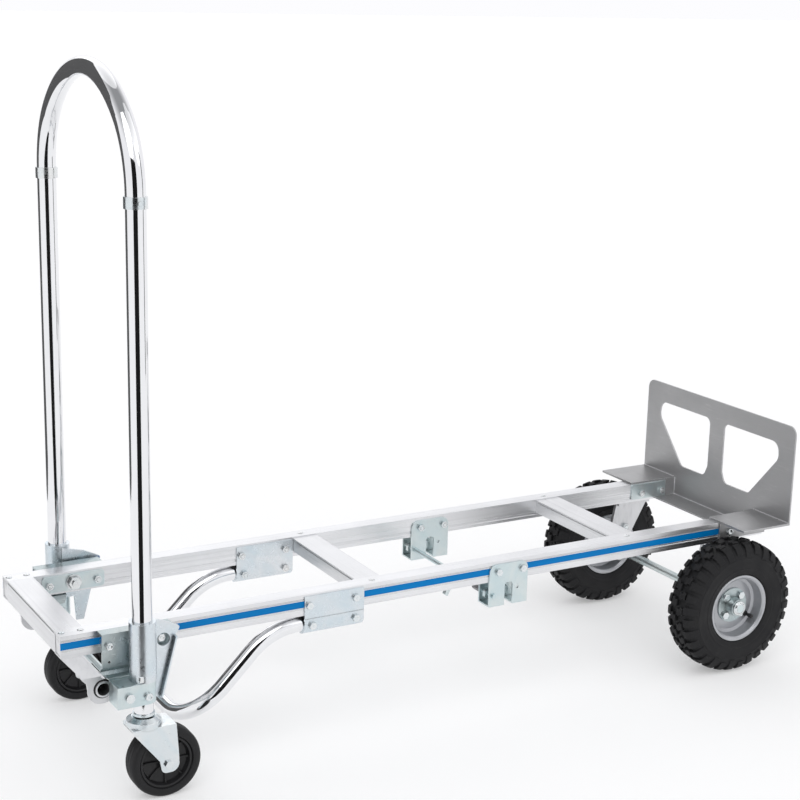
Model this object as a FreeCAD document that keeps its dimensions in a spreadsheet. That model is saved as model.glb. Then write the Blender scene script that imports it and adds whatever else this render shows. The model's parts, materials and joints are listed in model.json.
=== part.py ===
"""Convertible hand truck, standing as a four-wheel platform with its handle upright.

X runs along the frame, from the handle end to the nose plate. Y runs to the left side, Z is up, and the
wheels stand on Z = 0. Pieces are drawn with X measured from the handle end of the rails, and each finished
piece is moved back by half_length, so that the origin is under the middle of the truck.
Right-hand pieces (negative Y) are drawn first and mirrored, the road wheels the other way round.
"""
import FreeCAD, Part
import math
import os
import re
import Sketcher

SIZES = {
    # frame
    "half_length": 723.25,
    "rail_length": 1437,
    "rail_height": 38,
    "rail_top": 276,
    "rail_outer": 156,
    "rail_inner": 126,
    "rail_wall": 2.5,
    "stripe_low": 252.5,
    "stripe_high": 264.5,
    "stripe_depth": 1.4,
    "stripe_thick": 0.8,
    "stripe_end": 1326,
    "bar_wall": 3,
    "bolt_line": 256,
    "bolt_radius": 4,
    "bolt_hole": 4.1,
    "hex_radius": 7.5,
    "hex_height": 5,
    "nut_height": 6,
    "rivet_radius": 3,
    "rivet_head": 5.5,
    # pivot, sleeves and handle
    "pivot_x": 116,
    "pivot_z": 257,
    "web_inner": 175,
    "web_outer": 178,
    "stud_radius": 6,
    "stud_hole": 6.06,
    "fin_inner": 185.5,
    "fin_outer": 189.5,
    "leg_y": 210,
    "leg_radius": 16,
    "leg_wall": 2,
    "leg_bottom": 149,
    "loop_start": 969,
    "handle_top": 1163,
    "sleeve_radius": 21.5,
    "sleeve_bore": 16.08,
    "sleeve_bottom": 204.2,
    "sleeve_top": 302,
    "collar_radius": 18.5,
    "collar_low": 951,
    # grip bar
    "grip_x": 61,
    "grip_z": 185,
    "grip_radius": 13.5,
    "grip_bore": 10.5,
    "lobe_radius": 25,
    "lobe_inner": 173,
    "lobe_outer": 177,
    # casters
    "strap_radius": 20,
    "strap_low": 168,
    "strap_high": 204,
    "rod_x": 86,
    "rod_z": 185,
    "rod_radius": 5,
    "caster_x": 148,
    "caster_z": 60,
    "caster_radius": 60,
    "caster_half": 18,
    "fork_half": 21,
    "fork_sheet": 3.5,
    "crown_z": 124,
    # skid tube
    "skid_y": 141,
    "skid_z": 219,
    "skid_radius": 14,
    "skid_wall": 2,
    "skid_drop_x": 370,
    "skid_low_x": 221,
    "skid_bend": 90,
    "clamp_start": 426,
    "clamp_end": 540,
    "clamp_sheet": 2.5,
    # latch
    "latch_x": 805,
    "latch_z": 212,
    "latch_radius": 4.5,
    "latch_start": 796,
    "latch_end": 878,
    "latch_low": 191,
    "latch_sheet": 3,
    # road wheels and nose
    "axle_x": 1316,
    "axle_z": 130.5,
    "axle_radius": 8,
    "wheel_y": 211,
    "nose_x": 1441,
    "nose_sheet": 3,
    "nose_half": 228.5,
    "nose_top": 472,
    "wing_low": 276,
    "wing_high": 280,
    "heel_z": 243,
}

# bolt places along the rails
BRACKET_BOLTS = [72, 159]
CLAMP_BOLTS = [435, 524]
LATCH_BOLTS = [815, 867]
NOSE_BOLTS = [1350, 1403]
SKID_BOLTS = [441, 524]
RAIL_BOLTS = BRACKET_BOLTS + CLAMP_BOLTS + LATCH_BOLTS + NOSE_BOLTS
END_RIVETS = [7, 38]
RIVETS = END_RIVETS + [564, 1114]

PARTS = {}
PLACED = {}

os.makedirs("parts", exist_ok=True)
doc = FreeCAD.newDocument("ConvertibleHandTruck")
sheet = doc.addObject("Spreadsheet::Sheet", "Sizes")
for row, (word, amount) in enumerate(SIZES.items(), start=1):
    sheet.set(f"A{row}", word)
    sheet.set(f"B{row}", str(amount))
    sheet.setAlias(f"B{row}", word)
doc.recompute()


# ---------------------------------------------------------------- helpers

def full(formula):
    """A formula with each size written as a reference to the sheet."""
    def refer(word):
        return "Sizes." + word.group() if word.group() in SIZES else word.group()
    return re.sub(r"[a-z]\w*", refer, str(formula))


def bind(item, path, formula):
    item.setExpression(path, full(formula))


def number(formula):
    """What a formula comes to, for first guesses and for free shapes."""
    return float(sheet.evalExpression(full(formula)))


def keep(item, name, shift=True):
    """Name a finished piece and, unless it is made from shifted pieces, move it into the truck's frame."""
    item.Label = name
    if shift:
        start = PLACED.get(item.Name, "0")
        bind(item, "Placement.Base.x", f"({start}) - half_length")
    PARTS[name] = item
    return item


def mirrored(source, name=None):
    item = doc.addObject("Part::Mirroring", "Mirror")
    item.Source = source
    item.Normal = FreeCAD.Vector(0, 1, 0)
    return keep(item, name, shift=False) if name else item


def both_sides(items):
    return items + [mirrored(item) for item in items]


def group(items):
    item = doc.addObject("Part::Compound", "Group")
    item.Links = items
    return item


def fused(items):
    item = doc.addObject("Part::MultiFuse", "Fuse")
    item.Shapes = items
    return item


def cut(base, tool):
    item = doc.addObject("Part::Cut", "Cut")
    item.Base = base
    item.Tool = tool
    return item


def common(items):
    item = doc.addObject("Part::MultiCommon", "Common")
    item.Shapes = items
    return item


def place(item, x, y, z):
    for axis, formula in zip("xyz", (x, y, z)):
        bind(item, f"Placement.Base.{axis}", formula)
    PLACED[item.Name] = x
    return item


TURNS = {
    "x": FreeCAD.Rotation(FreeCAD.Vector(0, 1, 0), 90),
    "y": FreeCAD.Rotation(FreeCAD.Vector(1, 0, 0), -90),
    "z": FreeCAD.Rotation(),
}


def box(x, y, z):
    """A block between pairs of formulas."""
    item = doc.addObject("Part::Box", "Block")
    for side, (low, high) in zip(("Length", "Width", "Height"), (x, y, z)):
        bind(item, side, f"({high}) - ({low})")
    return place(item, x[0], y[0], z[0])


def rod(axis, x, y, z, radius, length):
    """A cylinder that starts at a point and runs along an axis."""
    item = doc.addObject("Part::Cylinder", "Rod")
    item.Placement.Rotation = TURNS[axis]
    bind(item, "Radius", radius)
    bind(item, "Height", length)
    return place(item, x, y, z)


def pipe(axis, x, y, z, radius, bore, length):
    return cut(rod(axis, x, y, z, radius, length), rod(axis, x, y, z, bore, length))


def hexagon(x, y, z, height):
    """A hexagon head or nut blank along Y."""
    item = doc.addObject("Part::Prism", "Hexagon")
    item.Polygon = 6
    item.Placement.Rotation = TURNS["y"]
    bind(item, "Circumradius", "hex_radius")
    bind(item, "Height", height)
    return place(item, x, y, z)


def bolt(x, z, seat, end):
    """A right-hand bolt: its head outside |Y| = seat, its shank in to |Y| = end."""
    head = hexagon(x, f"-({seat}) - hex_height", z, "hex_height")
    shank = rod("y", x, f"-({seat}) - 1", z, "bolt_radius", f"({seat}) - ({end}) + 1")
    return fused([head, shank])


def nut(x, z, seat):
    """A right-hand nut on the inner side of |Y| = seat."""
    blank = hexagon(x, f"-({seat})", z, "nut_height")
    return cut(blank, rod("y", x, f"-({seat})", z, "bolt_radius", "nut_height"))


def new_body():
    return doc.addObject("PartDesign::Body", "Body")


def sketch_on(body, role, offset="0"):
    """A sketch on one of the body's origin planes, moved along its normal."""
    sketch = body.newObject("Sketcher::SketchObject", "Sketch")
    plane = [item for item in body.Origin.OriginFeatures if item.Role == role][0]
    sketch.AttachmentSupport = [(plane, "")]
    sketch.MapMode = "FlatFace"
    bind(sketch, "AttachmentOffset.Base.z", offset)
    return sketch


def fix(sketch, kind, first, place_on, formula):
    """Hold a point's distance from the sketch's origin to a formula."""
    held = Sketcher.Constraint(kind, -1, 1, first, place_on, number(formula))
    bind(sketch, f"Constraints[{sketch.addConstraint(held)}]", formula)


def outline(sketch, points):
    """A closed run of straight lines through points given as pairs of formulas."""
    start = sketch.GeometryCount
    spots = [FreeCAD.Vector(number(x), number(y), 0) for x, y in points]
    count = len(points)
    for index in range(count):
        sketch.addGeometry(Part.LineSegment(spots[index], spots[(index + 1) % count]), False)
    for index in range(count):
        following = start + (index + 1) % count
        sketch.addConstraint(Sketcher.Constraint("Coincident", start + index, 2, following, 1))
    for index, (x, y) in enumerate(points):
        fix(sketch, "DistanceX", start + index, 1, x)
        fix(sketch, "DistanceY", start + index, 1, y)


def circle(sketch, x, y, radius):
    centre = FreeCAD.Vector(number(x), number(y), 0)
    index = sketch.addGeometry(Part.Circle(centre, FreeCAD.Vector(0, 0, 1), number(radius)), False)
    fix(sketch, "DistanceX", index, 3, x)
    fix(sketch, "DistanceY", index, 3, y)
    size = sketch.addConstraint(Sketcher.Constraint("Radius", index, number(radius)))
    bind(sketch, f"Constraints[{size}]", radius)


def pad(body, sketch, length, midplane=False):
    feature = body.newObject("PartDesign::Pad", "Pad")
    feature.Profile = sketch
    feature.Midplane = midplane
    bind(feature, "Length", length)
    doc.recompute()
    return feature


def rounded(body, corners, plane):
    """Round the edges that stand on the given corners: {(a, b): radius} in the sketch plane's two axes."""
    for (first, second), radius in corners.items():
        spot = (number(first), number(second))
        names = []
        base = body.Tip
        for index, edge in enumerate(base.Shape.Edges, start=1):
            ends = [tuple(getattr(vertex.Point, axis) for axis in plane) for vertex in edge.Vertexes]
            if len(ends) == 2 and all(math.dist(end, spot) < 0.01 for end in ends):
                names.append(f"Edge{index}")
        feature = body.newObject("PartDesign::Fillet", "Round")
        feature.Base = (base, names)
        feature.Radius = radius
        doc.recompute()


def plate(points, low, high, holes=(), rounds=None, side="XZ_Plane"):
    """A flat right-hand plate drawn in XZ between |Y| = low and high, or in another origin plane."""
    body = new_body()
    sketch = sketch_on(body, side, low)
    outline(sketch, points)
    for x, y, radius in holes:
        circle(sketch, x, y, radius)
    pad(body, sketch, f"({high}) - ({low})")
    axes = {"XZ_Plane": "xz", "YZ_Plane": "yz", "XY_Plane": "xy"}[side]
    rounded(body, rounds or {}, axes)
    return body


def section(points, start, end, inside=()):
    """A bar of constant YZ section between two places along X."""
    body = new_body()
    sketch = sketch_on(body, "YZ_Plane", start)
    outline(sketch, points)
    if inside:
        outline(sketch, inside)
    pad(body, sketch, f"({end}) - ({start})")
    return body


def turned(points):
    """A ring or wheel turned about Y from (offset, radius) points."""
    body = new_body()
    sketch = sketch_on(body, "YZ_Plane")
    outline(sketch, points)
    feature = body.newObject("PartDesign::Revolution", "Turn")
    feature.Profile = sketch
    feature.ReferenceAxis = (sketch, ["H_Axis"])
    feature.Angle = 360
    doc.recompute()
    return body


def bolt_holes(places, height="bolt_line"):
    return [(x, height, "bolt_hole") for x in places]


def bent_tube(points, radii, radius, wall):
    """A tube along straight runs joined by tangent arcs."""
    edges = []
    last = points[0]
    for before, corner, after, bend in zip(points, points[1:], points[2:], radii):
        towards = (corner - before).normalize()
        away = (after - corner).normalize()
        half = towards.getAngle(away) / 2
        reach = bend * math.tan(half)
        first = corner - towards * reach
        final = corner + away * reach
        inward = (away - towards).normalize()
        middle = corner + inward * (bend / math.cos(half) - bend)
        if (first - last).Length > 0.01:
            edges.append(Part.LineSegment(last, first).toShape())
        edges.append(Part.Arc(first, middle, final).toShape())
        last = final
    edges.append(Part.LineSegment(last, points[-1]).toShape())
    path = Part.Wire(edges)
    direction = points[1] - points[0]
    skins = []
    for size in (radius, radius - wall):
        ring = Part.Wire(Part.makeCircle(size, points[0], direction))
        skins.append(path.makePipeShell([ring], True, False))
    return skins[0].cut(skins[1])


# ---------------------------------------------------------------- rails and crossbars

rail_low = "rail_top - rail_height"
rail_profile = [
    ("-rail_inner", rail_low), ("-rail_outer", rail_low), ("-rail_outer", "stripe_low - 4"),
    ("-rail_outer + 1", "stripe_low - 3"), ("-rail_outer + 1", "stripe_low - 1.5"),
    ("-rail_outer", "stripe_low - 1"), ("-rail_outer", "stripe_low"),
    ("-rail_outer + stripe_depth", "stripe_low"), ("-rail_outer + stripe_depth", "stripe_high"),
    ("-rail_outer", "stripe_high"), ("-rail_outer", "stripe_high + 1"),
    ("-rail_outer + 1", "stripe_high + 1.5"), ("-rail_outer + 1", "stripe_high + 3"),
    ("-rail_outer", "stripe_high + 4"), ("-rail_outer", "rail_top"), ("-rail_inner", "rail_top"),
    ("-rail_inner", "rail_top - 26"), ("-rail_inner - 1", "rail_top - 27"),
    ("-rail_inner - 1", "rail_top - 31"), ("-rail_inner", "rail_top - 32"),
]
cavity = [
    ("-rail_inner - 1 - rail_wall", rail_low + " + rail_wall"),
    ("-rail_outer + stripe_depth + rail_wall", rail_low + " + rail_wall"),
    ("-rail_outer + stripe_depth + rail_wall", "rail_top - rail_wall"),
    ("-rail_inner - 1 - rail_wall", "rail_top - rail_wall"),
]
rail_bar = section(rail_profile, "0", "rail_length", inside=cavity)
rail_drills = [rod("y", x, "-rail_outer - 5", "bolt_line", "bolt_hole", "40") for x in RAIL_BOLTS]
rail_drills.append(rod("y", "pivot_x", "-rail_outer - 5", "pivot_z", "stud_hole", "40"))
rail_drills += [rod("z", x, "-(rail_outer + rail_inner) / 2", rail_low + " - 5", "rivet_radius", "50")
                for x in RIVETS]
right_rail = keep(cut(rail_bar, group(rail_drills)), "side_rail_right")
mirrored(right_rail, "side_rail_left")

stripe_back = "-rail_outer + stripe_depth"
stripe_tape = box(("0", "stripe_end"), (stripe_back + " - stripe_thick", stripe_back),
                  ("stripe_low", "stripe_high"))
keep(group(both_sides([cut(stripe_tape, group(rail_drills))])), "rail_stripes")


def crossbar(start, end, low, high, name):
    """A box section between the rails, with a shallow ridge along each upper edge."""
    body = new_body()
    sketch = sketch_on(body, "XZ_Plane")
    ridge = "0.8"
    outline(sketch, [
        (start, low), (end, low), (end, f"{high} - 5"), (f"{end} - {ridge}", f"{high} - 4"),
        (f"{end} - {ridge}", f"{high} - 3"), (end, f"{high} - 2"), (end, high),
        (start, high), (start, f"{high} - 2"), (f"{start} + {ridge}", f"{high} - 3"),
        (f"{start} + {ridge}", f"{high} - 4"), (start, f"{high} - 5"),
    ])
    outline(sketch, [
        (f"{start} + bar_wall", f"{low} + bar_wall"), (f"{end} - bar_wall", f"{low} + bar_wall"),
        (f"{end} - bar_wall", f"{high} - bar_wall"), (f"{start} + bar_wall", f"{high} - bar_wall"),
    ])
    pad(body, sketch, "2 * rail_inner", midplane=True)
    keep(body, name)


crossbar("0", "45", "rail_top - 37", "rail_top", "end_crossbar")
crossbar("540.5", "589.5", "rail_top - 27", "rail_top - 2", "middle_crossbar")
crossbar("1087", "1141", "rail_top - 28", "rail_top - 2", "axle_crossbar")


def rail_rivet(x):
    middle = "-(rail_outer + rail_inner) / 2"
    shank = rod("z", x, middle, rail_low + " - 1", "rivet_radius", "rail_height + 2")
    top = rod("z", x, middle, "rail_top", "rivet_head", "1.6")
    foot = rod("z", x, middle, rail_low + " - 1.6", "rivet_head", "1.6")
    return fused([shank, top, foot])


keep(group(both_sides([rail_rivet(x) for x in RIVETS])), "crossbar_rivets")

# ---------------------------------------------------------------- grip bar below the handle end

grip_profile = [
    ("-rail_inner - 4", rail_low), ("-rail_outer", rail_low),
    ("-lobe_outer", "grip_z + 22"), ("-lobe_outer", "grip_z - lobe_radius"),
    ("-lobe_inner", "grip_z - lobe_radius"), ("-lobe_inner", "grip_z + 21"),
    ("-rail_outer + 2", rail_low + " - 4"), ("-rail_inner - 4", rail_low + " - 4"),
]
grip_outline = [
    ("0", "rail_top"), ("0", rail_low), ("19", "216"), ("27", "204"), ("34", "197"),
    ("grip_x - lobe_radius", "grip_z"), ("grip_x - lobe_radius", "grip_z - lobe_radius"),
    ("grip_x + 19", "grip_z - lobe_radius"), ("grip_x + 19", "grip_z + 6"), ("74", "grip_z + 11"),
    ("54", "214"), ("34", rail_low), ("34", "rail_top"),
]
grip_blank = plate(grip_outline, "rail_inner", "lobe_outer + 1",
                   [("grip_x", "grip_z", "grip_radius + 2.5")],
                   {("grip_x - lobe_radius", "grip_z - lobe_radius"): 22,
                    ("grip_x + 19", "grip_z - lobe_radius"): 18})
grip_sheet = section(grip_profile, "-1", "90")
rivet_room = [rod("z", x, "-(rail_outer + rail_inner) / 2", rail_low + " - 6", "rivet_head + 0.3", "7")
              for x in END_RIVETS]
bracket_room = plate([("58", "212"), ("58", "205"), ("67", "196"), ("90", "194"), ("90", "212")],
                     "lobe_inner - 12", "lobe_outer + 2")
grip_plate = cut(common([grip_blank, grip_sheet]), group(rivet_room + [bracket_room]))
keep(group(both_sides([grip_plate])), "grip_plates")

keep(pipe("y", "grip_x", "-lobe_outer - 3", "grip_z", "grip_radius", "grip_bore", "2 * lobe_outer + 6"),
     "grip_tube")
grip_ring = pipe("y", "grip_x", "-lobe_outer", "grip_z", "grip_radius + 2.5", "grip_radius",
                 "lobe_outer - lobe_inner - 1.5")
keep(group(both_sides([grip_ring])), "grip_tube_rings")

# ---------------------------------------------------------------- fixed pivot brackets

bracket_start = "60"
bracket_end = "182"
bracket_shell = [
    ("-rail_outer", "rail_top"), ("-web_outer", "rail_top"), ("-web_outer", "219"),
    ("-web_outer + 7", "215.5"), ("-web_outer + 10", "210"), ("-web_outer + 7", "204.5"),
    ("-web_outer", "201"), ("-web_outer", "198"), ("-web_outer + 9", "202"),
    ("-web_outer + 13", "210"), ("-web_outer + 9", "218"), ("-web_inner", "221"),
    ("-web_inner", "rail_top - 3"), ("-rail_outer", "rail_top - 3"),
]
bracket_outline = [
    (bracket_start, "rail_top + 1"), (bracket_start, "207"), ("74", "197"), ("112", "197"),
    ("118", "222"), (bracket_end, "236"), (bracket_end, "rail_top + 1"),
]
bracket_blank = plate(bracket_outline, "rail_outer", "web_outer + 1",
                      bolt_holes(BRACKET_BOLTS) + [("pivot_x", "pivot_z", "stud_hole"), ("72", "228", "2.5")],
                      {(bracket_end, "rail_top + 1"): 6, (bracket_start, "207"): 5})
right_bracket = keep(common([bracket_blank, section(bracket_shell, bracket_start, bracket_end)]),
                     "pivot_bracket_right")
mirrored(right_bracket, "pivot_bracket_left")

backing = plate([("60", "242"), ("172", "242"), ("172", "272"), ("60", "272")],
                "rail_inner - 3", "rail_inner",
                bolt_holes(BRACKET_BOLTS) + [("pivot_x", "pivot_z", "stud_hole")],
                {("60", "242"): 6, ("172", "242"): 6, ("172", "272"): 6, ("60", "272"): 6})
keep(group(both_sides([backing])), "pivot_backing_plates")

spacers = [pipe("y", x, "-web_inner", "bolt_line", "8", "bolt_hole", "web_inner - rail_outer")
           for x in BRACKET_BOLTS]
keep(group(both_sides(spacers)), "pivot_bracket_spacers")
bracket_bolts = [bolt(x, "bolt_line", "web_outer", "rail_inner - 3 - nut_height - 1") for x in BRACKET_BOLTS]
bracket_nuts = [nut(x, "bolt_line", "rail_inner - 3") for x in BRACKET_BOLTS]

# ---------------------------------------------------------------- skid tube and its clamps

drop = number("skid_z + skid_low_x - skid_drop_x")
skid_route = [
    FreeCAD.Vector(number("clamp_end - 3"), -number("skid_y"), number("skid_z")),
    FreeCAD.Vector(number("skid_drop_x"), -number("skid_y"), number("skid_z")),
    FreeCAD.Vector(number("skid_low_x"), -number("skid_y"), drop),
    FreeCAD.Vector(number("skid_low_x"), number("skid_y"), drop),
    FreeCAD.Vector(number("skid_drop_x"), number("skid_y"), number("skid_z")),
    FreeCAD.Vector(number("clamp_end - 3"), number("skid_y"), number("skid_z")),
]
skid_bend = number("skid_bend")
skid_free = doc.addObject("Part::Feature", "SkidTube")
skid_free.Shape = bent_tube(skid_route, [skid_bend + 30, skid_bend, skid_bend, skid_bend + 30],
                            number("skid_radius"), number("skid_wall"))
skid_drills = [rod("y", x, "-200", "skid_z", "bolt_hole", "400") for x in SKID_BOLTS]
keep(cut(skid_free, group(skid_drills)), "skid_tube")


def clamp_half(outer):
    """One pressed half of a clamp: a flat on the rail and a half round under it."""
    if outer:
        wall = ("-rail_outer - clamp_sheet", "-rail_outer")
    else:
        wall = ("-rail_inner", "-rail_inner + clamp_sheet")
    flat = box(("clamp_start", "clamp_end"), wall, ("skid_z", "rail_top - 4"))
    shell = pipe("x", "clamp_start", "-skid_y", "skid_z", "rail_outer - skid_y + clamp_sheet",
                 "skid_radius", "clamp_end - clamp_start")
    if outer:
        half = box(("clamp_start", "clamp_end"), ("-rail_outer - clamp_sheet", "-skid_y - 0.2"),
                   ("skid_z - 20", "skid_z"))
    else:
        half = box(("clamp_start", "clamp_end"), ("-skid_y + 0.2", "-rail_inner + clamp_sheet"),
                   ("skid_z - 20", "skid_z"))
    body = fused([flat, common([shell, half])])
    holes = [rod("y", x, "-rail_outer - 5", "bolt_line", "bolt_hole", "40") for x in CLAMP_BOLTS]
    holes += [rod("y", x, "-rail_outer - 5", "skid_z", "bolt_hole", "40") for x in SKID_BOLTS]
    if outer:
        crease = box(("clamp_start - 1", "clamp_end + 1"),
                     ("-rail_outer - clamp_sheet - 1", "-rail_outer - clamp_sheet + 0.8"),
                     ("skid_z + 12", "skid_z + 14"))
        holes.append(crease)
    return cut(body, group(holes))


keep(group(both_sides([clamp_half(True)])), "tube_clamps_outer")
keep(group(both_sides([clamp_half(False)])), "tube_clamps_inner")
clamp_seat = "rail_outer + clamp_sheet"
clamp_back = "rail_inner - clamp_sheet"
clamp_bolts = [bolt(x, "bolt_line", clamp_seat, clamp_back + " - nut_height - 1") for x in CLAMP_BOLTS]
clamp_bolts += [bolt(x, "skid_z", clamp_seat, clamp_back + " - nut_height - 1") for x in SKID_BOLTS]
clamp_nuts = [nut(x, "bolt_line", clamp_back) for x in CLAMP_BOLTS]
clamp_nuts += [nut(x, "skid_z", clamp_back) for x in SKID_BOLTS]

# ---------------------------------------------------------------- latch

latch_profile = [
    ("-rail_outer", "rail_top - 6"), ("-rail_outer - latch_sheet", "rail_top - 6"),
    ("-rail_outer - latch_sheet", "latch_low"), ("-rail_inner + latch_sheet", "latch_low"),
    ("-rail_inner + latch_sheet", "rail_top - 6"), ("-rail_inner", "rail_top - 6"),
    ("-rail_inner", "latch_low + latch_sheet"), ("-rail_outer", "latch_low + latch_sheet"),
]
notch_low = "829"
notch_high = "846"
latch_outline = [
    ("latch_start", "rail_top - 6"), ("latch_start", "latch_low"), (notch_low, "latch_low"),
    (notch_low, "234"), (notch_high, "234"), (notch_high, "latch_low"), ("latch_end", "latch_low"),
    ("latch_end", "rail_top - 6"),
]
latch_holes = bolt_holes(LATCH_BOLTS) + [("latch_x", "latch_z", "latch_radius + 0.08"), ("856", "222", "3")]
latch_blank = plate(latch_outline, "rail_inner - latch_sheet", "rail_outer + latch_sheet", latch_holes,
                    {("latch_start", "rail_top - 6"): 14, ("latch_end", "rail_top - 6"): 14,
                     (notch_low, "234"): 6, (notch_high, "234"): 6})
latch_bracket = common([latch_blank, section(latch_profile, "latch_start", "latch_end")])
keep(group(both_sides([latch_bracket])), "latch_brackets")
latch_seat = "rail_outer + latch_sheet"
latch_back = "rail_inner - latch_sheet"
latch_bolts = [bolt(x, "bolt_line", latch_seat, latch_back + " - nut_height - 1") for x in LATCH_BOLTS]
latch_nuts = [nut(x, "bolt_line", latch_back) for x in LATCH_BOLTS]

rod_end = "rail_outer + latch_sheet + 5"
keep(rod("y", "latch_x", "-(" + rod_end + ")", "latch_z", "latch_radius", "2 * (" + rod_end + ")"),
     "latch_rod")
pawl = plate([("796", "206"), ("800", "204"), ("838", "206"), ("847", "213"), ("844", "221"),
              ("828", "221"), ("820", "217"), ("806", "221"), ("797", "218")],
             "skid_y - 4", "skid_y + 4", [("latch_x", "latch_z", "latch_radius")],
             {("847", "213"): 3, ("796", "206"): 3, ("797", "218"): 3})
keep(group(both_sides([pawl])), "latch_pawls")
lever = plate([("796", "206"), ("801", "176"), ("797", "163"), ("803", "160"), ("811", "174"),
               ("814", "206"), ("813", "218"), ("797", "218")],
              "-5", "5", [("latch_x", "latch_z", "latch_radius")],
              {("797", "163"): 2, ("813", "218"): 5, ("797", "218"): 5, ("811", "174"): 8})
keep(lever, "latch_lever")
spring_coil = pipe("y", "latch_x", "-118", "latch_z", "latch_radius + 3", "latch_radius + 0.4", "24")
spring_tail = box(("latch_x + 5.2", "latch_x + 7.2"), ("-122.7", "-116"), ("latch_z", "latch_z + 22"))
keep(fused([spring_coil, spring_tail]), "latch_spring")

# ---------------------------------------------------------------- axle, road wheels and nose

axle_flange = box(("1299", "1378"), ("-rail_outer + 3", "-rail_inner - 3"), (rail_low + " - 6", rail_low))
axle_web = plate([("1299", rail_low + " - 3"), ("1286", "170"), ("1296", "118"), ("1316", "106"),
                  ("1336", "118"), ("1342", "170"), ("1378", rail_low + " - 3")],
                 "skid_y - 3.5", "skid_y + 3.5",
                 [("axle_x", "axle_z", "axle_radius"), ("1323", "182", "bolt_hole")],
                 {("1296", "118"): 12, ("1316", "106"): 10, ("1336", "118"): 12})
keep(group(both_sides([fused([axle_flange, axle_web])])), "axle_brackets")
axle_bolt = bolt("1323", "182", "skid_y + 3.5", "skid_y - 11")
axle_nut = nut("1323", "182", "skid_y - 3.5")
keep(rod("y", "axle_x", "-246.5", "axle_z", "axle_radius", "493"), "axle")
spacer = pipe("y", "axle_x", "-176.6", "axle_z", "axle_radius + 4", "axle_radius",
              "176.6 - skid_y - 3.5")
keep(group(both_sides([spacer])), "axle_spacers")
washer = pipe("y", "axle_x", "-246", "axle_z", "axle_radius + 6", "axle_radius", "4.7")
keep(group(both_sides([washer])), "axle_end_caps")

WHEEL_BOLTS = 4
BOLT_CIRCLE = 25.5


def on_axle(item, name):
    """Place a road wheel piece, drawn about the origin, on the left wheel and mirror it to the right."""
    keep(place(item, "axle_x", "wheel_y", "axle_z"), name + "_left")
    mirrored(item, name + "_right")


def wheel_drills(radius, low, high):
    """Cylinders on the hub's bolt circle, about the wheel's own centre."""
    drills = []
    for index in range(WHEEL_BOLTS):
        turn = math.pi / 4 + index * math.tau / WHEEL_BOLTS
        x, z = BOLT_CIRCLE * math.cos(turn), BOLT_CIRCLE * math.sin(turn)
        drills.append(rod("y", x, low, z, radius, f"{high} - ({low})"))
    return group(drills)


tyre = turned([
    ("-28.3", "61.2"), ("-28.3", "66.6"), ("-33", "69"), ("-36.5", "90"), ("-36", "112"), ("-30", "126"),
    ("-18", "axle_z - 1.2"), ("0", "axle_z"), ("18", "axle_z - 1.2"), ("30", "126"), ("36", "112"),
    ("36.5", "90"), ("33", "69"), ("28.3", "66.6"), ("28.3", "61.2"), ("20", "61.2"), ("26", "72"),
    ("30", "92"), ("28", "110"), ("14", "119"), ("-14", "119"), ("-28", "110"), ("-30", "92"),
    ("-26", "72"), ("-20", "61.2"),
])
on_axle(tyre, "tyre")

rim_blank = turned([
    ("-31", "66"), ("-28.5", "66"), ("-28.5", "61"), ("28.5", "61"), ("28.5", "66"), ("31", "66"),
    ("31", "62"), ("28", "58.5"), ("8", "56"), ("6", "50"), ("8", "36"), ("8", "17.1"), ("5.5", "17.1"),
    ("5.5", "34.5"), ("3", "50"), ("-4", "58.5"), ("-28", "58.5"), ("-31", "62"),
])
rim = cut(rim_blank, wheel_drills("bolt_hole", "0", "15"))
on_axle(rim, "wheel_rim")

hub_blank = turned([
    ("-34", "14"), ("-34", "17"), ("8", "17"), ("8", "34"), ("11", "34"), ("11", "17.8"), ("29.7", "17"),
    ("29.7", "14"), ("19.5", "14"), ("19.5", "11"), ("-24", "11"), ("-24", "14"),
])
hub = cut(hub_blank, wheel_drills("bolt_hole", "0", "15"))
on_axle(hub, "wheel_hub")


def bearing(low, high):
    return turned([(low, "axle_radius + 0.06"), (low, "14"), (high, "14"), (high, "axle_radius + 0.06")])


on_axle(group([bearing("-34", "-24"), bearing("19.5", "29.5")]), "wheel_bearings")


def hub_bolt(turn):
    x, z = BOLT_CIRCLE * math.cos(turn), BOLT_CIRCLE * math.sin(turn)
    head = hexagon(x, "11", z, "hex_height")
    foot = hexagon(x, "0.5", z, "hex_height")
    return fused([head, rod("y", x, "1", z, "bolt_radius", "13"), foot])


hub_bolts = group([hub_bolt(math.pi / 4 + index * math.tau / WHEEL_BOLTS) for index in range(WHEEL_BOLTS)])
on_axle(hub_bolts, "hub_bolts")

VALVE_X, VALVE_Z = "36", "-24"
VALVE_SEAT = "8.2"
valve = fused([rod("y", VALVE_X, VALVE_SEAT, VALVE_Z, "3.4", "20"),
               rod("y", VALVE_X, VALVE_SEAT, VALVE_Z, "5.5", "3")])
on_axle(valve, "valve_stem")

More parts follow.
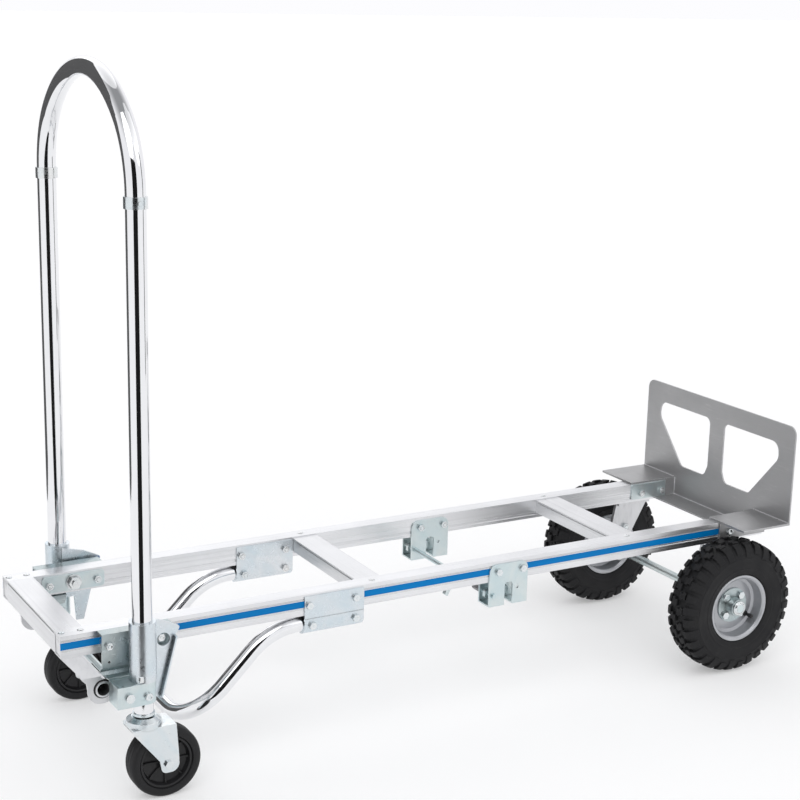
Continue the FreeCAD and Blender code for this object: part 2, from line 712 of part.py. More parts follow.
CUT_OUT = [("22", "432"), ("182", "432"), ("186", "400"), ("106", "308"), ("32", "308"), ("22", "330")]
nose_points = [
    ("-nose_half", "wing_low"), ("-rail_inner", "wing_low"), ("-rail_inner", "heel_z"),
    ("rail_inner", "heel_z"), ("rail_inner", "wing_low"), ("nose_half", "wing_low"),
    ("nose_half", "nose_top"), ("-nose_half", "nose_top"),
]
nose_face = new_body()
nose_sketch = sketch_on(nose_face, "YZ_Plane", "nose_x - nose_sheet")
outline(nose_sketch, nose_points)
for sign in ("", "-"):
    outline(nose_sketch, [(f"{sign}{y}", z) for y, z in CUT_OUT])
pad(nose_face, nose_sketch, "nose_sheet")
nose_rounds = {("-nose_half", "nose_top"): 18, ("nose_half", "nose_top"): 18}
cut_radii = (14, 19, 22, 14, 14, 12)
for (y, z), radius in zip(CUT_OUT, cut_radii):
    nose_rounds[(y, z)] = radius
    nose_rounds[("-" + y, z)] = radius
rounded(nose_face, nose_rounds, "yz")

wing = box(("stripe_end", "nose_x"), ("-nose_half", "-rail_inner"), ("wing_low", "wing_high"))
outer_lip = box(("stripe_end", "nose_x"), ("-rail_outer - nose_sheet", "-rail_outer"), ("242", "wing_low + 1"))
inner_wall = box(("1414", "nose_x"), ("-rail_inner", "-rail_inner + nose_sheet"), ("heel_z", "wing_high"))
heel = box(("1386", "nose_x"), ("-rail_inner", "rail_inner"), ("heel_z - nose_sheet", "heel_z"))
nose_side = [wing, outer_lip, inner_wall]
nose_drills = [rod("y", x, "-170", "bolt_line", "bolt_hole", "340") for x in NOSE_BOLTS]
keep(cut(fused([nose_face, heel] + both_sides(nose_side)), group(nose_drills)), "nose_plate")

right_angle = plate([("stripe_end", "heel_z"), ("1413.5", "heel_z"), ("1413.5", "wing_low - 1"),
                     ("stripe_end", "wing_low - 1")],
                    "rail_inner - nose_sheet", "rail_inner", bolt_holes(NOSE_BOLTS),
                    {("stripe_end", "heel_z"): 5, ("stripe_end", "wing_low - 1"): 5})
keep(group(both_sides([right_angle])), "nose_brackets")
nose_bolts = [bolt(x, "bolt_line", "rail_outer + nose_sheet", "rail_inner - nose_sheet - nut_height - 1")
              for x in NOSE_BOLTS]
nose_nuts = [nut(x, "bolt_line", "rail_inner - nose_sheet") for x in NOSE_BOLTS]
frame_bolts = bracket_bolts + clamp_bolts + latch_bolts + nose_bolts + [axle_bolt]
frame_nuts = bracket_nuts + clamp_nuts + latch_nuts + nose_nuts + [axle_nut]
keep(group(both_sides(frame_bolts)), "frame_bolts")
keep(group(both_sides(frame_nuts)), "frame_nuts")

# ---------------------------------------------------------------- swinging sleeves

sleeve_tube = rod("z", "pivot_x", "-leg_y", "sleeve_bottom", "sleeve_radius", "sleeve_top - sleeve_bottom")
sleeve_bore = rod("z", "pivot_x", "-leg_y", "100", "sleeve_bore", "300")
fin = plate([("pivot_x", "sleeve_top - 3"), ("157", "289"), ("188", "274"), ("180", "260"), ("154", "160"),
             ("140", "160"), ("137", "206"), ("pivot_x", "206")],
            "fin_inner", "fin_outer", [("159", "bolt_line", "11")],
            {("157", "289"): 12, ("188", "274"): 4, ("154", "160"): 5})
fin_flange = plate([("180", "260"), ("154", "160"), ("150.9", "160"), ("176.9", "260")],
                   "fin_inner", "fin_outer + 9")
sleeve = cut(fused([sleeve_tube, fin, fin_flange]), sleeve_bore)
right_sleeve = keep(sleeve, "pivot_sleeve_right")
mirrored(right_sleeve, "pivot_sleeve_left")
stud_end = "rail_inner - 17"
stud = fused([rod("y", "pivot_x", "-fin_inner", "pivot_z", "stud_radius", "fin_inner - (" + stud_end + ")"),
              rod("y", "pivot_x", "-fin_inner", "pivot_z", "11", "fin_inner - web_outer - 0.3")])
keep(group(both_sides([stud])), "pivot_studs")
stud_nut = cut(rod("y", "pivot_x", "-rail_inner + 3.3", "pivot_z", "14", "2"),
               rod("y", "pivot_x", "-rail_inner + 3.3", "pivot_z", "stud_radius", "12"))
stud_hex = cut(hexagon("pivot_x", "-rail_inner + 5.3", "pivot_z", "8"),
               rod("y", "pivot_x", "-rail_inner + 3.3", "pivot_z", "stud_radius", "12"))
stud_hex.Base.setExpression("Circumradius", full("hex_radius + 4"))
keep(group(both_sides([stud_nut, stud_hex])), "pivot_nuts")

# ---------------------------------------------------------------- handle and caster carriers

rise = number("handle_top - leg_radius - loop_start")
reach = number("leg_y")
turn = math.pi / 4
low_radius = (rise * math.sin(turn) - reach * (1 - math.cos(turn))) / (
    math.sin(turn) ** 2 - (1 - math.cos(turn)) ** 2)
top_radius = (reach - low_radius * (1 - math.cos(turn))) / math.cos(turn)


def loop_point(angle, side):
    """The centre line of the loop: a tighter arc up from each leg and a flatter one over the top."""
    if angle <= turn:
        y = reach - low_radius * (1 - math.cos(angle))
        z = low_radius * math.sin(angle)
    else:
        y = top_radius * math.cos(angle)
        z = rise - top_radius * (1 - math.sin(angle))
    return FreeCAD.Vector(number("pivot_x"), side * y, number("loop_start") + z)


foot_right = FreeCAD.Vector(number("pivot_x"), -reach, number("leg_bottom"))
foot_left = FreeCAD.Vector(number("pivot_x"), reach, number("leg_bottom"))
loop_path = Part.Wire([
    Part.LineSegment(foot_right, loop_point(0, -1)).toShape(),
    Part.Arc(loop_point(0, -1), loop_point(turn / 2, -1), loop_point(turn, -1)).toShape(),
    Part.Arc(loop_point(turn, -1), loop_point(math.pi / 2, -1), loop_point(turn, 1)).toShape(),
    Part.Arc(loop_point(turn, 1), loop_point(turn / 2, 1), loop_point(0, 1)).toShape(),
    Part.LineSegment(loop_point(0, 1), foot_left).toShape(),
])
loop_skins = []
for radius in (number("leg_radius"), number("leg_radius - leg_wall")):
    ring = Part.Wire(Part.makeCircle(radius, foot_right, FreeCAD.Vector(0, 0, 1)))
    loop_skins.append(loop_path.makePipeShell([ring], True, False))
loop_free = doc.addObject("Part::Feature", "HandleLoop")
loop_free.Shape = loop_skins[0].cut(loop_skins[1])
strap_bolt_x = "pivot_x + 1"
strap_bolt_z = "182"
leg_drill = rod("y", strap_bolt_x, "-300", strap_bolt_z, "bolt_hole", "600")
keep(cut(loop_free, leg_drill), "handle_loop")

collar = pipe("z", "pivot_x", "-leg_y", "collar_low", "collar_radius", "leg_radius", "loop_start - collar_low")
collar_rivet = rod("y", "pivot_x", "-leg_y - collar_radius - 1.5", "collar_low + 9", "3", "1.6")
keep(group(both_sides([collar, collar_rivet])), "stop_collars")


def strap():
    """A sheet strap round the leg, its two walls carried back to hold the cross rod."""
    block = fused([
        rod("z", "pivot_x", "-leg_y", "strap_low", "strap_radius", "strap_high - strap_low"),
        box(("66", "pivot_x"), ("-leg_y - strap_radius", "-leg_y + strap_radius"), ("strap_low", "strap_high")),
    ])
    inside = fused([
        rod("z", "pivot_x", "-leg_y", "strap_low - 1", "leg_radius", "60"),
        box(("70", "pivot_x"), ("-leg_y - leg_radius", "-leg_y + leg_radius"),
            ("strap_low - 1", "strap_high + 1")),
    ])
    drills = fused([rod("y", strap_bolt_x, "-300", strap_bolt_z, "bolt_hole", "200"),
                    rod("y", "rod_x", "-300", "rod_z", "rod_radius", "200")])
    return cut(cut(block, inside), drills)


keep(group(both_sides([strap()])), "caster_brackets")
rod_reach = "leg_y + strap_radius"
keep(rod("y", "rod_x", "-(" + rod_reach + ")", "rod_z", "rod_radius", "2 * (" + rod_reach + ")"),
     "caster_cross_rod")
strap_bolt = bolt(strap_bolt_x, strap_bolt_z, "leg_y + strap_radius", "leg_y - strap_radius - 2")
rod_head = hexagon("rod_x", "-leg_y - strap_radius - hex_height", "rod_z", "hex_height")
keep(group(both_sides([strap_bolt, rod_head])), "caster_bracket_bolts")

stem_blank = fused([
    rod("z", "pivot_x", "-leg_y", "leg_bottom", "leg_radius - leg_wall", "50"),
    rod("z", "pivot_x", "-leg_y", "leg_bottom - 4", "leg_radius + 2", "4"),
    rod("z", "pivot_x", "-leg_y", "crown_z - 6", "stud_radius", "leg_bottom - crown_z + 6"),
    rod("z", "pivot_x", "-leg_y", "crown_z - 6", "9", "3"),
])
stem = cut(stem_blank, rod("y", strap_bolt_x, "-300", strap_bolt_z, "bolt_hole", "200"))
keep(group(both_sides([stem])), "caster_stems")

# ---------------------------------------------------------------- casters

crown = box(("pivot_x - 26", "caster_x + 14"), ("-leg_y - fork_half - fork_sheet",
                                              "-leg_y + fork_half + fork_sheet"),
            ("crown_z", "crown_z + 4"))
cheek_points = [
    ("pivot_x - 26", "crown_z + 4"), ("pivot_x - 26", "crown_z - 2"), ("caster_x - 15", "caster_z + 8"),
    ("caster_x - 11", "caster_z - 14"), ("caster_x + 18", "caster_z - 14"), ("caster_x + 18", "caster_z + 10"),
    ("caster_x + 14", "crown_z + 4"),
]
cheek_rounds = {("caster_x - 11", "caster_z - 14"): 9, ("caster_x + 18", "caster_z - 14"): 14}
cheek_hole = [("caster_x", "caster_z", "bolt_radius")]
cheeks = [
    plate(cheek_points, "leg_y + fork_half", "leg_y + fork_half + fork_sheet", cheek_hole, cheek_rounds),
    plate(cheek_points, "leg_y - fork_half - fork_sheet", "leg_y - fork_half", cheek_hole, cheek_rounds),
]
race_low = rod("z", "pivot_x", "-leg_y", "crown_z + 3", "28", "10")
race_cone = doc.addObject("Part::Cone", "Race")
bind(race_cone, "Radius1", "28")
bind(race_cone, "Radius2", "20")
bind(race_cone, "Height", "6")
place(race_cone, "pivot_x", "-leg_y", "crown_z + 13")
race_bore = fused([rod("z", "pivot_x", "-leg_y", "crown_z - 10", "stud_hole", "40"),
                   rod("z", "pivot_x", "-leg_y", "crown_z + 6", "14", "20")])
fork = cut(fused([crown, race_low, race_cone] + cheeks), race_bore)
right_fork = keep(fork, "caster_fork_right")
mirrored(right_fork, "caster_fork_left")

caster_reach = "fork_half + fork_sheet"
caster_bolt = fused([
    hexagon("caster_x", "-leg_y - fork_half - fork_sheet - hex_height", "caster_z", "hex_height"),
    rod("y", "caster_x", "-leg_y - fork_half - fork_sheet - 1", "caster_z", "bolt_radius",
        "2 * fork_half + 2 * fork_sheet + 1"),
    hexagon("caster_x", "-leg_y + fork_half + fork_sheet", "caster_z", "hex_height"),
])
right_caster_bolt = keep(caster_bolt, "caster_axle_right")
mirrored(right_caster_bolt, "caster_axle_left")

caster_tyre = turned([
    ("-caster_half + 4", "caster_radius - 16"), ("-caster_half + 1", "caster_radius - 14"),
    ("-caster_half", "caster_radius - 9"), ("-caster_half + 3", "caster_radius - 2.5"),
    ("-caster_half + 8", "caster_radius"), ("caster_half - 8", "caster_radius"),
    ("caster_half - 3", "caster_radius - 2.5"), ("caster_half", "caster_radius - 9"),
    ("caster_half - 1", "caster_radius - 14"), ("caster_half - 4", "caster_radius - 16"),
])
keep(place(caster_tyre, "caster_x", "leg_y", "caster_z"), "caster_tyre_left")
mirrored(caster_tyre, "caster_tyre_right")
caster_hub = turned([
    ("-20", "bolt_radius + 0.06"), ("-20", "12"), ("-11", "15"), ("-8", "38"), ("-14", "41"),
    ("-14", "caster_radius - 16"), ("14", "caster_radius - 16"), ("14", "41"), ("8", "38"),
    ("11", "15"), ("20", "12"), ("20", "bolt_radius + 0.06"),
])
keep(place(caster_hub, "caster_x", "leg_y", "caster_z"), "caster_hub_left")
mirrored(caster_hub, "caster_hub_right")

# ---------------------------------------------------------------- checks and files

doc.recompute()
failed = [item.Label for item in doc.Objects if "Invalid" in item.State or "Error" in item.State]
for name, item in PARTS.items():
    if item.Shape.isNull() or not item.Shape.isValid() or not item.Shape.Solids:
        failed.append(name)
if failed:
    raise SystemExit("These did not build: " + ", ".join(failed))
for name, item in PARTS.items():
    item.Shape.exportStep(f"parts/{name}.step")
print(len(PARTS), "parts written")
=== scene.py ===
"""Convertible hand truck: the finished pieces, finishes and studio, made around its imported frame.

Lengths are metres. +X runs from the handle end to the nose plate, +Y is the left side, +Z is up.
"""
import json
import math

import bmesh
import bpy
from mathutils import Euler, Matrix, Vector


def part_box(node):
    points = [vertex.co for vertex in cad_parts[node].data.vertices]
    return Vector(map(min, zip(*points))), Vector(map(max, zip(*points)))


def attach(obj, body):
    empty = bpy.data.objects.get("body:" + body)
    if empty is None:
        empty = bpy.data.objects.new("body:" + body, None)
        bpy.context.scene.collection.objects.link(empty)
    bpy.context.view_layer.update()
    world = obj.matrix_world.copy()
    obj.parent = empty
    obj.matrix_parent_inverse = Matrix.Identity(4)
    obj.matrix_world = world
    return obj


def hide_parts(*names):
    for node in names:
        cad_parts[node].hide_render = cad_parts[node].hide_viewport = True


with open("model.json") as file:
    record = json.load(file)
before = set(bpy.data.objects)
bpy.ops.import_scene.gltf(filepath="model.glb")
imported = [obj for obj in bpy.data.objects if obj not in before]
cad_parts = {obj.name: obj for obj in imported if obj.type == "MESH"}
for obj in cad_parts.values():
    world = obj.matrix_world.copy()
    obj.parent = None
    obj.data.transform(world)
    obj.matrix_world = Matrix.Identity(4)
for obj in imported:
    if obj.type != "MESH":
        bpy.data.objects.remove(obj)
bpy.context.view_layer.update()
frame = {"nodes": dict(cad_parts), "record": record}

bl_info = {
    "name": "Convertible Hand Truck",
    "version": (1, 0, 0),
    "blender": (4, 5, 0),
    "location": "3D View > Sidebar > Hand Truck",
    "description": "Makes the finished pieces and finishes of a convertible hand truck",
    "category": "Add Mesh",
}

NODES = frame["nodes"]
SIDES = {"left": 1, "right": -1}
MM = 0.001
FULL_TURN = 2 * math.pi


# ---------------------------------------------------------------- sizes and colours a user would change

class TyreSizes(bpy.types.PropertyGroup):
    """Sizes of the road tyres' tread."""

    shoulder_blocks: bpy.props.IntProperty(
        name="Shoulder Blocks", description="Blocks round each shoulder, long and short by turns",
        default=32, min=8, max=60)
    centre_blocks: bpy.props.IntProperty(
        name="Centre Blocks", description="Blocks round each of the two middle rows",
        default=26, min=8, max=60)
    ring_segments: bpy.props.IntProperty(
        name="Ring Segments", description="Steps round a turned ring", default=96, min=24, max=256)


class FastenerSizes(bpy.types.PropertyGroup):
    """Sizes of the hexagon bolts, nuts and rivets."""

    chamfer: bpy.props.FloatProperty(
        name="Corner Chamfer", description="Chamfer on the corners of heads and nuts",
        default=0.8 * MM, min=0.1 * MM, max=2 * MM, subtype="DISTANCE", unit="LENGTH")
    thread_pitch: bpy.props.FloatProperty(
        name="Thread Pitch", description="Distance from one thread to the next",
        default=1.25 * MM, min=0.5 * MM, max=3 * MM, subtype="DISTANCE", unit="LENGTH")
    flange: bpy.props.FloatProperty(
        name="Head Flange", description="Thickness of the round flange under a head",
        default=0.7 * MM, min=0.2 * MM, max=2 * MM, subtype="DISTANCE", unit="LENGTH")


class FinishColours(bpy.types.PropertyGroup):
    """Base colours of the finishes."""

    aluminium: bpy.props.FloatVectorProperty(
        name="Aluminium", description="Extruded rails and crossbars",
        default=(0.80, 0.805, 0.82), min=0, max=1, subtype="COLOR")
    nose: bpy.props.FloatVectorProperty(
        name="Nose Plate", description="Satin grey of the nose plate",
        default=(0.47, 0.47, 0.475), min=0, max=1, subtype="COLOR")
    zinc: bpy.props.FloatVectorProperty(
        name="Zinc", description="Zinc plated brackets and sleeves",
        default=(0.64, 0.71, 0.72), min=0, max=1, subtype="COLOR")
    chrome: bpy.props.FloatVectorProperty(
        name="Chrome", description="Handle and skid tube",
        default=(0.86, 0.865, 0.88), min=0, max=1, subtype="COLOR")
    stripe: bpy.props.FloatVectorProperty(
        name="Stripe", description="Tape along the rails",
        default=(0.0, 0.165, 0.45), min=0, max=1, subtype="COLOR")
    rubber: bpy.props.FloatVectorProperty(
        name="Rubber", description="Tyres", default=(0.007, 0.007, 0.008), min=0, max=1, subtype="COLOR")
    rim: bpy.props.FloatVectorProperty(
        name="Rim Paint", description="Road wheel rims",
        default=(0.42, 0.43, 0.45), min=0, max=1, subtype="COLOR")


class StudioSettings(bpy.types.PropertyGroup):
    """Camera, floor and light."""

    camera_place: bpy.props.FloatVectorProperty(
        name="Camera Place", description="Where the camera stands",
        default=(-1.48415, -2.5475, 1.2817), subtype="TRANSLATION", unit="LENGTH")
    camera_heading: bpy.props.FloatProperty(
        name="Camera Heading", description="Turn of the view from +X towards +Y",
        default=math.radians(60.294), subtype="ANGLE", unit="ROTATION")
    camera_dip: bpy.props.FloatProperty(
        name="Camera Dip", description="How far the view looks down",
        default=math.radians(13.964), subtype="ANGLE", unit="ROTATION")
    camera_roll: bpy.props.FloatProperty(
        name="Camera Roll", description="Roll of the camera about its view",
        default=math.radians(1.309), subtype="ANGLE", unit="ROTATION")
    lens: bpy.props.FloatProperty(
        name="Lens", description="Focal length in millimetres on a 36 mm sensor",
        default=75.33, min=10, max=300)
    floor_tone: bpy.props.FloatProperty(
        name="Floor Tone", description="Whiteness of the floor", default=0.70, min=0, max=1)
    floor_glow: bpy.props.FloatProperty(
        name="Floor Glow", description="Even light that the floor gives back", default=0.30, min=0, max=1)
    key_strength: bpy.props.FloatProperty(
        name="Key Strength", description="Strength of the main soft light", default=0.78, min=0)


# ---------------------------------------------------------------- finishes

class Finish:
    """A material's node tree, with short calls for the few nodes that the finishes use."""

    def __init__(self, name, colour, metallic, roughness):
        self.material = bpy.data.materials.new(name)
        self.material.use_nodes = True
        self.tree = self.material.node_tree
        self.shader = self.tree.nodes["Principled BSDF"]
        self.place = self.add("ShaderNodeTexCoord").outputs["Object"]
        self.set("Base Color", (*colour, 1))
        self.set("Metallic", metallic)
        self.set("Roughness", roughness)
        self.smooth_normal = None

    def add(self, kind, **values):
        node = self.tree.nodes.new(kind)
        for word, value in values.items():
            setattr(node, word, value)
        return node

    def set(self, socket, value):
        self.shader.inputs[socket].default_value = value

    def link(self, source, target):
        self.tree.links.new(source, target)

    def tint(self, colour):
        """The base colour, from a colour output."""
        self.link(colour, self.shader.inputs["Base Color"])

    def roughen(self, value, low, high):
        """Roughness from low to high as the value goes from 0.3 to 0.7."""
        self.link(self.spread(value, low, high), self.shader.inputs["Roughness"])

    def noise(self, scale, detail=3.0, warp=0.0):
        """Noise on Object coordinates; scale is one number or a stretch for each axis."""
        stretch = scale if isinstance(scale, tuple) else (scale,) * 3
        mapping = self.add("ShaderNodeMapping")
        mapping.inputs["Scale"].default_value = stretch
        self.link(self.place, mapping.inputs["Vector"])
        noise = self.add("ShaderNodeTexNoise")
        noise.inputs["Scale"].default_value = 1.0
        noise.inputs["Detail"].default_value = detail
        noise.inputs["Distortion"].default_value = warp
        self.link(mapping.outputs["Vector"], noise.inputs["Vector"])
        return noise.outputs["Fac"]

    def spread(self, value, low, high, start=0.3, end=0.7):
        """A value from start to end, carried over to low to high."""
        span = self.add("ShaderNodeMapRange")
        for socket, number in (("From Min", start), ("From Max", end), ("To Min", low), ("To Max", high)):
            span.inputs[socket].default_value = number
        self.link(value, span.inputs["Value"])
        return span.outputs["Result"]

    def shades(self, value, dark, light):
        """A colour between two shades, as the value goes from 0.3 to 0.7."""
        ramp = self.add("ShaderNodeValToRGB")
        first, last = ramp.color_ramp.elements
        first.position, last.position = 0.3, 0.7
        first.color, last.color = (*dark, 1), (*light, 1)
        self.link(value, ramp.inputs["Fac"])
        return ramp.outputs["Color"]

    def blend(self, value, first, second):
        """The first colour where the value is 0, the second where it is 1."""
        mix = self.add("ShaderNodeMix", data_type="RGBA")
        self.link(value, mix.inputs[0])
        self.link(first, mix.inputs[6])
        if isinstance(second, tuple):
            mix.inputs[7].default_value = (*second, 1)
        else:
            self.link(second, mix.inputs[7])
        return mix.outputs[2]

    def soften_edges(self, radius):
        """Rounds every edge by a small radius, and returns a mask that is 1 on those edges, where the
        finishes paint highlights.
        """
        bevel = self.add("ShaderNodeBevel", samples=4)
        bevel.inputs["Radius"].default_value = radius
        self.smooth_normal = bevel.outputs["Normal"]
        geometry = self.add("ShaderNodeNewGeometry")
        dot = self.add("ShaderNodeVectorMath", operation="DOT_PRODUCT")
        self.link(bevel.outputs["Normal"], dot.inputs[0])
        self.link(geometry.outputs["True Normal"], dot.inputs[1])
        return self.spread(dot.outputs["Value"], 1.0, 0.0, 0.90, 0.985)

    def crevice_shade(self, reach):
        """A mask that is 1 deep in corners and gaps, where shade falls; the finishes use it to paint shade
        into the colour.
        """
        hollow = self.add("ShaderNodeAmbientOcclusion", samples=4, only_local=True)
        hollow.inputs["Distance"].default_value = reach
        return self.spread(hollow.outputs["AO"], 1.0, 0.0, 0.35, 0.85)

    def relief(self, value, strength, depth):
        """Surface relief from a height value; each call lies on the one before."""
        bump = self.add("ShaderNodeBump")
        bump.inputs["Strength"].default_value = strength
        bump.inputs["Distance"].default_value = depth
        self.link(value, bump.inputs["Height"])
        if self.smooth_normal:
            self.link(self.smooth_normal, bump.inputs["Normal"])
        self.smooth_normal = bump.outputs["Normal"]

    def done(self):
        if self.smooth_normal:
            self.link(self.smooth_normal, self.shader.inputs["Normal"])
        return self.material


def shade(colour, factor):
    return tuple(min(1.0, part * factor) for part in colour)


def drawn_metal(name, colour, roughness, grain, edge=0.5 * MM, bright=1.18):
    """Drawn or extruded metal: fine lines along the grain, cloudy tone, painted highlights along the edges
    and painted shade in the corners.
    """
    finish = Finish(name, colour, 1.0, roughness)
    clouds = finish.noise(7.0, 3.0, 0.4)
    lines = finish.noise(grain, 2.0)
    specks = finish.noise(900.0, 2.0)
    die_lines = finish.noise(tuple(part * 0.2 for part in grain), 1.0)
    tone = finish.shades(clouds, shade(colour, 0.93), shade(colour, 1.03))
    tone = finish.blend(finish.spread(die_lines, 0.0, 0.30, 0.52, 0.66), tone, shade(colour, 0.80))
    tone = finish.blend(finish.spread(lines, 0.0, 0.22, 0.55, 0.75), tone, shade(colour, 0.72))
    edges = finish.soften_edges(edge)
    # Painted highlight: the colour is lighter along every edge.
    tone = finish.blend(edges, tone, shade(colour, bright))
    # Painted shade: the colour is darker deep in corners and gaps.
    tone = finish.blend(finish.crevice_shade(5 * MM), tone, shade(colour, 0.42))
    finish.tint(tone)
    finish.roughen(lines, roughness - 0.05, roughness + 0.10)
    finish.relief(lines, 0.22, 0.08 * MM)
    finish.relief(specks, 0.06, 0.05 * MM)
    return finish.done()


def satin_plate(name, colour, roughness):
    """Rolled plate with a satin face, faint scuffs and painted highlights along the edges."""
    finish = Finish(name, colour, 0.85, roughness)
    clouds = finish.noise(5.0, 4.0, 0.6)
    grit = finish.noise(1400.0, 2.0)
    scuffs = finish.noise((30.0, 22.0, 260.0), 5.0, 1.2)
    tone = finish.shades(clouds, shade(colour, 0.90), shade(colour, 1.06))
    tone = finish.blend(finish.spread(scuffs, 0.0, 0.35, 0.62, 0.78), tone, shade(colour, 1.45))
    tone = finish.blend(finish.spread(grit, 0.0, 0.20), tone, shade(colour, 0.70))
    edges = finish.soften_edges(0.7 * MM)
    # Painted highlight: the colour is much lighter along every edge.
    finish.tint(finish.blend(edges, tone, shade(colour, 2.0)))
    finish.roughen(scuffs, roughness + 0.04, roughness - 0.08)
    finish.relief(grit, 0.16, 0.10 * MM)
    return finish.done()


def zinc_plate(name, colour, roughness, edge=0.6 * MM):
    """Bright zinc plating: cool and warm drifts of tone, faint drying marks, painted highlights along the
    edges and painted shade in the corners.
    """
    finish = Finish(name, colour, 1.0, roughness)
    drift = finish.noise(14.0, 3.0, 1.2)
    marks = finish.noise(75.0, 5.0, 2.0)
    grit = finish.noise(1500.0, 2.0)
    cool = (colour[0] * 0.92, colour[1] * 0.98, colour[2] * 1.00)
    warm = (colour[0] * 1.08, colour[1] * 1.05, colour[2] * 1.03)
    tone = finish.shades(drift, cool, warm)
    tone = finish.blend(finish.spread(marks, 0.0, 0.14, 0.56, 0.76), tone, shade(colour, 0.88))
    edges = finish.soften_edges(edge)
    # Painted highlight: the colour is lighter along every edge.
    tone = finish.blend(edges, tone, shade(colour, 1.38))
    # Painted shade: the colour is darker deep in corners and gaps.
    tone = finish.blend(finish.crevice_shade(6 * MM), tone, shade(colour, 0.35))
    finish.tint(tone)
    finish.roughen(marks, roughness - 0.06, roughness + 0.12)
    finish.relief(marks, 0.02, 0.10 * MM)
    finish.relief(grit, 0.03, 0.03 * MM)
    return finish.done()


def polished_chrome(name, colour):
    """Polished chrome with faint wiping smears and hairlines along the tube."""
    finish = Finish(name, colour, 1.0, 0.05)
    smears = finish.noise(11.0, 4.0, 1.5)
    hairs = finish.noise((260.0, 260.0, 9.0), 2.0)
    tone = finish.shades(smears, shade(colour, 0.965), colour)
    finish.tint(tone)
    finish.roughen(smears, 0.030, 0.085)
    finish.relief(hairs, 0.012, 0.04 * MM)
    return finish.done()


def adhesive_film(name, colour):
    """Glossy tape: a faint embossed line along its length and slight fading."""
    finish = Finish(name, colour, 0.0, 0.34)
    fade = finish.noise((2.0, 30.0, 60.0), 3.0, 0.4)
    lines = finish.noise((6.0, 200.0, 1100.0), 2.0)
    specks = finish.noise(420.0, 3.0)
    tone = finish.shades(fade, shade(colour, 0.90), shade(colour, 1.10))
    tone = finish.blend(finish.spread(specks, 0.0, 0.18, 0.62, 0.75), tone, shade(colour, 1.6))
    finish.tint(tone)
    finish.roughen(fade, 0.30, 0.42)
    finish.set("Specular IOR Level", 0.12)
    finish.relief(lines, 0.15, 0.05 * MM)
    return finish.done()


def moulded_rubber(name, colour, roughness, grain):
    """Moulded rubber: a fine pebble, duller worn patches, a little pale dust and painted highlights along
    the edges.
    """
    finish = Finish(name, colour, 0.0, roughness)
    patches = finish.noise(22.0, 4.0, 0.8)
    dust = finish.noise(130.0, 5.0, 0.5)
    pebble = finish.noise(grain, 3.0)
    tone = finish.shades(patches, shade(colour, 0.75), shade(colour, 1.35))
    tone = finish.blend(finish.spread(dust, 0.0, 0.30, 0.58, 0.80), tone, (0.026, 0.025, 0.025))
    edges = finish.soften_edges(0.5 * MM)
    # Painted highlight: the rubber is a little lighter along every edge.
    tone = finish.blend(finish.spread(edges, 0.0, 0.45, 0.0, 1.0), tone, (0.028, 0.028, 0.029))
    finish.tint(tone)
    finish.roughen(patches, roughness - 0.10, roughness + 0.12)
    finish.set("Specular IOR Level", 0.34)
    finish.relief(pebble, 0.35, 0.18 * MM)
    return finish.done()


def wheel_paint(name, colour):
    """Silver paint with a slight orange peel, metal flake and painted highlights along the edges."""
    finish = Finish(name, colour, 0.75, 0.36)
    peel = finish.noise(320.0, 2.0)
    flake = finish.noise(2600.0, 1.0)
    film = finish.noise(18.0, 4.0, 0.8)
    tone = finish.shades(film, shade(colour, 0.88), shade(colour, 1.10))
    tone = finish.blend(finish.spread(flake, 0.0, 0.35, 0.5, 0.7), tone, shade(colour, 1.5))
    edges = finish.soften_edges(0.8 * MM)
    # Painted highlight: the colour is lighter along every edge.
    finish.tint(finish.blend(finish.spread(edges, 0.0, 0.6, 0.0, 1.0), tone, (0.75, 0.76, 0.78)))
    finish.roughen(film, 0.30, 0.44)
    finish.set("Coat Weight", 0.3)
    finish.set("Coat Roughness", 0.12)
    finish.relief(peel, 0.10, 0.12 * MM)
    return finish.done()


def make_finishes():
    """Every finish by its slot name, with the extrusions' two directions of grain."""
    colours = bpy.context.scene.truck_colours
    zinc = tuple(colours.zinc)
    aluminium = tuple(colours.aluminium)
    rubber = tuple(colours.rubber)
    return {
        "rail_aluminium": drawn_metal("rail_aluminium", aluminium, 0.30, (3.0, 950.0, 950.0)),
        "crossbar_aluminium": drawn_metal("crossbar_aluminium", shade(aluminium, 0.96), 0.32,
                                          (950.0, 3.0, 950.0)),
        "plate_aluminium": drawn_metal("plate_aluminium", shade(aluminium, 0.88), 0.38,
                                       (260.0, 260.0, 40.0)),
        "nose_metal": satin_plate("nose_metal", tuple(colours.nose), 0.44),
        "zinc_steel": zinc_plate("zinc_steel", zinc, 0.34),
        # Deep zinc is the zinc darkened all over: painted shade on the pivot brackets and wheel hubs.
        "deep_zinc": zinc_plate("deep_zinc", shade(zinc, 0.72), 0.30),
        "bright_zinc": zinc_plate("bright_zinc", (0.68, 0.725, 0.76), 0.29),
        "fork_zinc": zinc_plate("fork_zinc", (0.71, 0.745, 0.765), 0.17, 1.0 * MM),
        "bolt_steel": zinc_plate("bolt_steel", (0.74, 0.76, 0.77), 0.20, 0.3 * MM),
        "tube_chrome": polished_chrome("tube_chrome", tuple(colours.chrome)),
        "stripe_blue": adhesive_film("stripe_blue", tuple(colours.stripe)),
        "black_plastic": moulded_rubber("black_plastic", (0.012, 0.012, 0.013), 0.42, 900.0),
        "tyre_rubber": moulded_rubber("tyre_rubber", rubber, 0.66, 650.0),
        "caster_rubber": moulded_rubber("caster_rubber", shade(rubber, 0.9), 0.52, 1100.0),
        "rim_paint": wheel_paint("rim_paint", tuple(colours.rim)),
        "weld_metal": drawn_metal("weld_metal", (0.74, 0.74, 0.75), 0.30, (300.0, 300.0, 300.0)),
        "spring_steel": drawn_metal("spring_steel", (0.36, 0.36, 0.37), 0.34, (500.0, 500.0, 500.0)),
    }


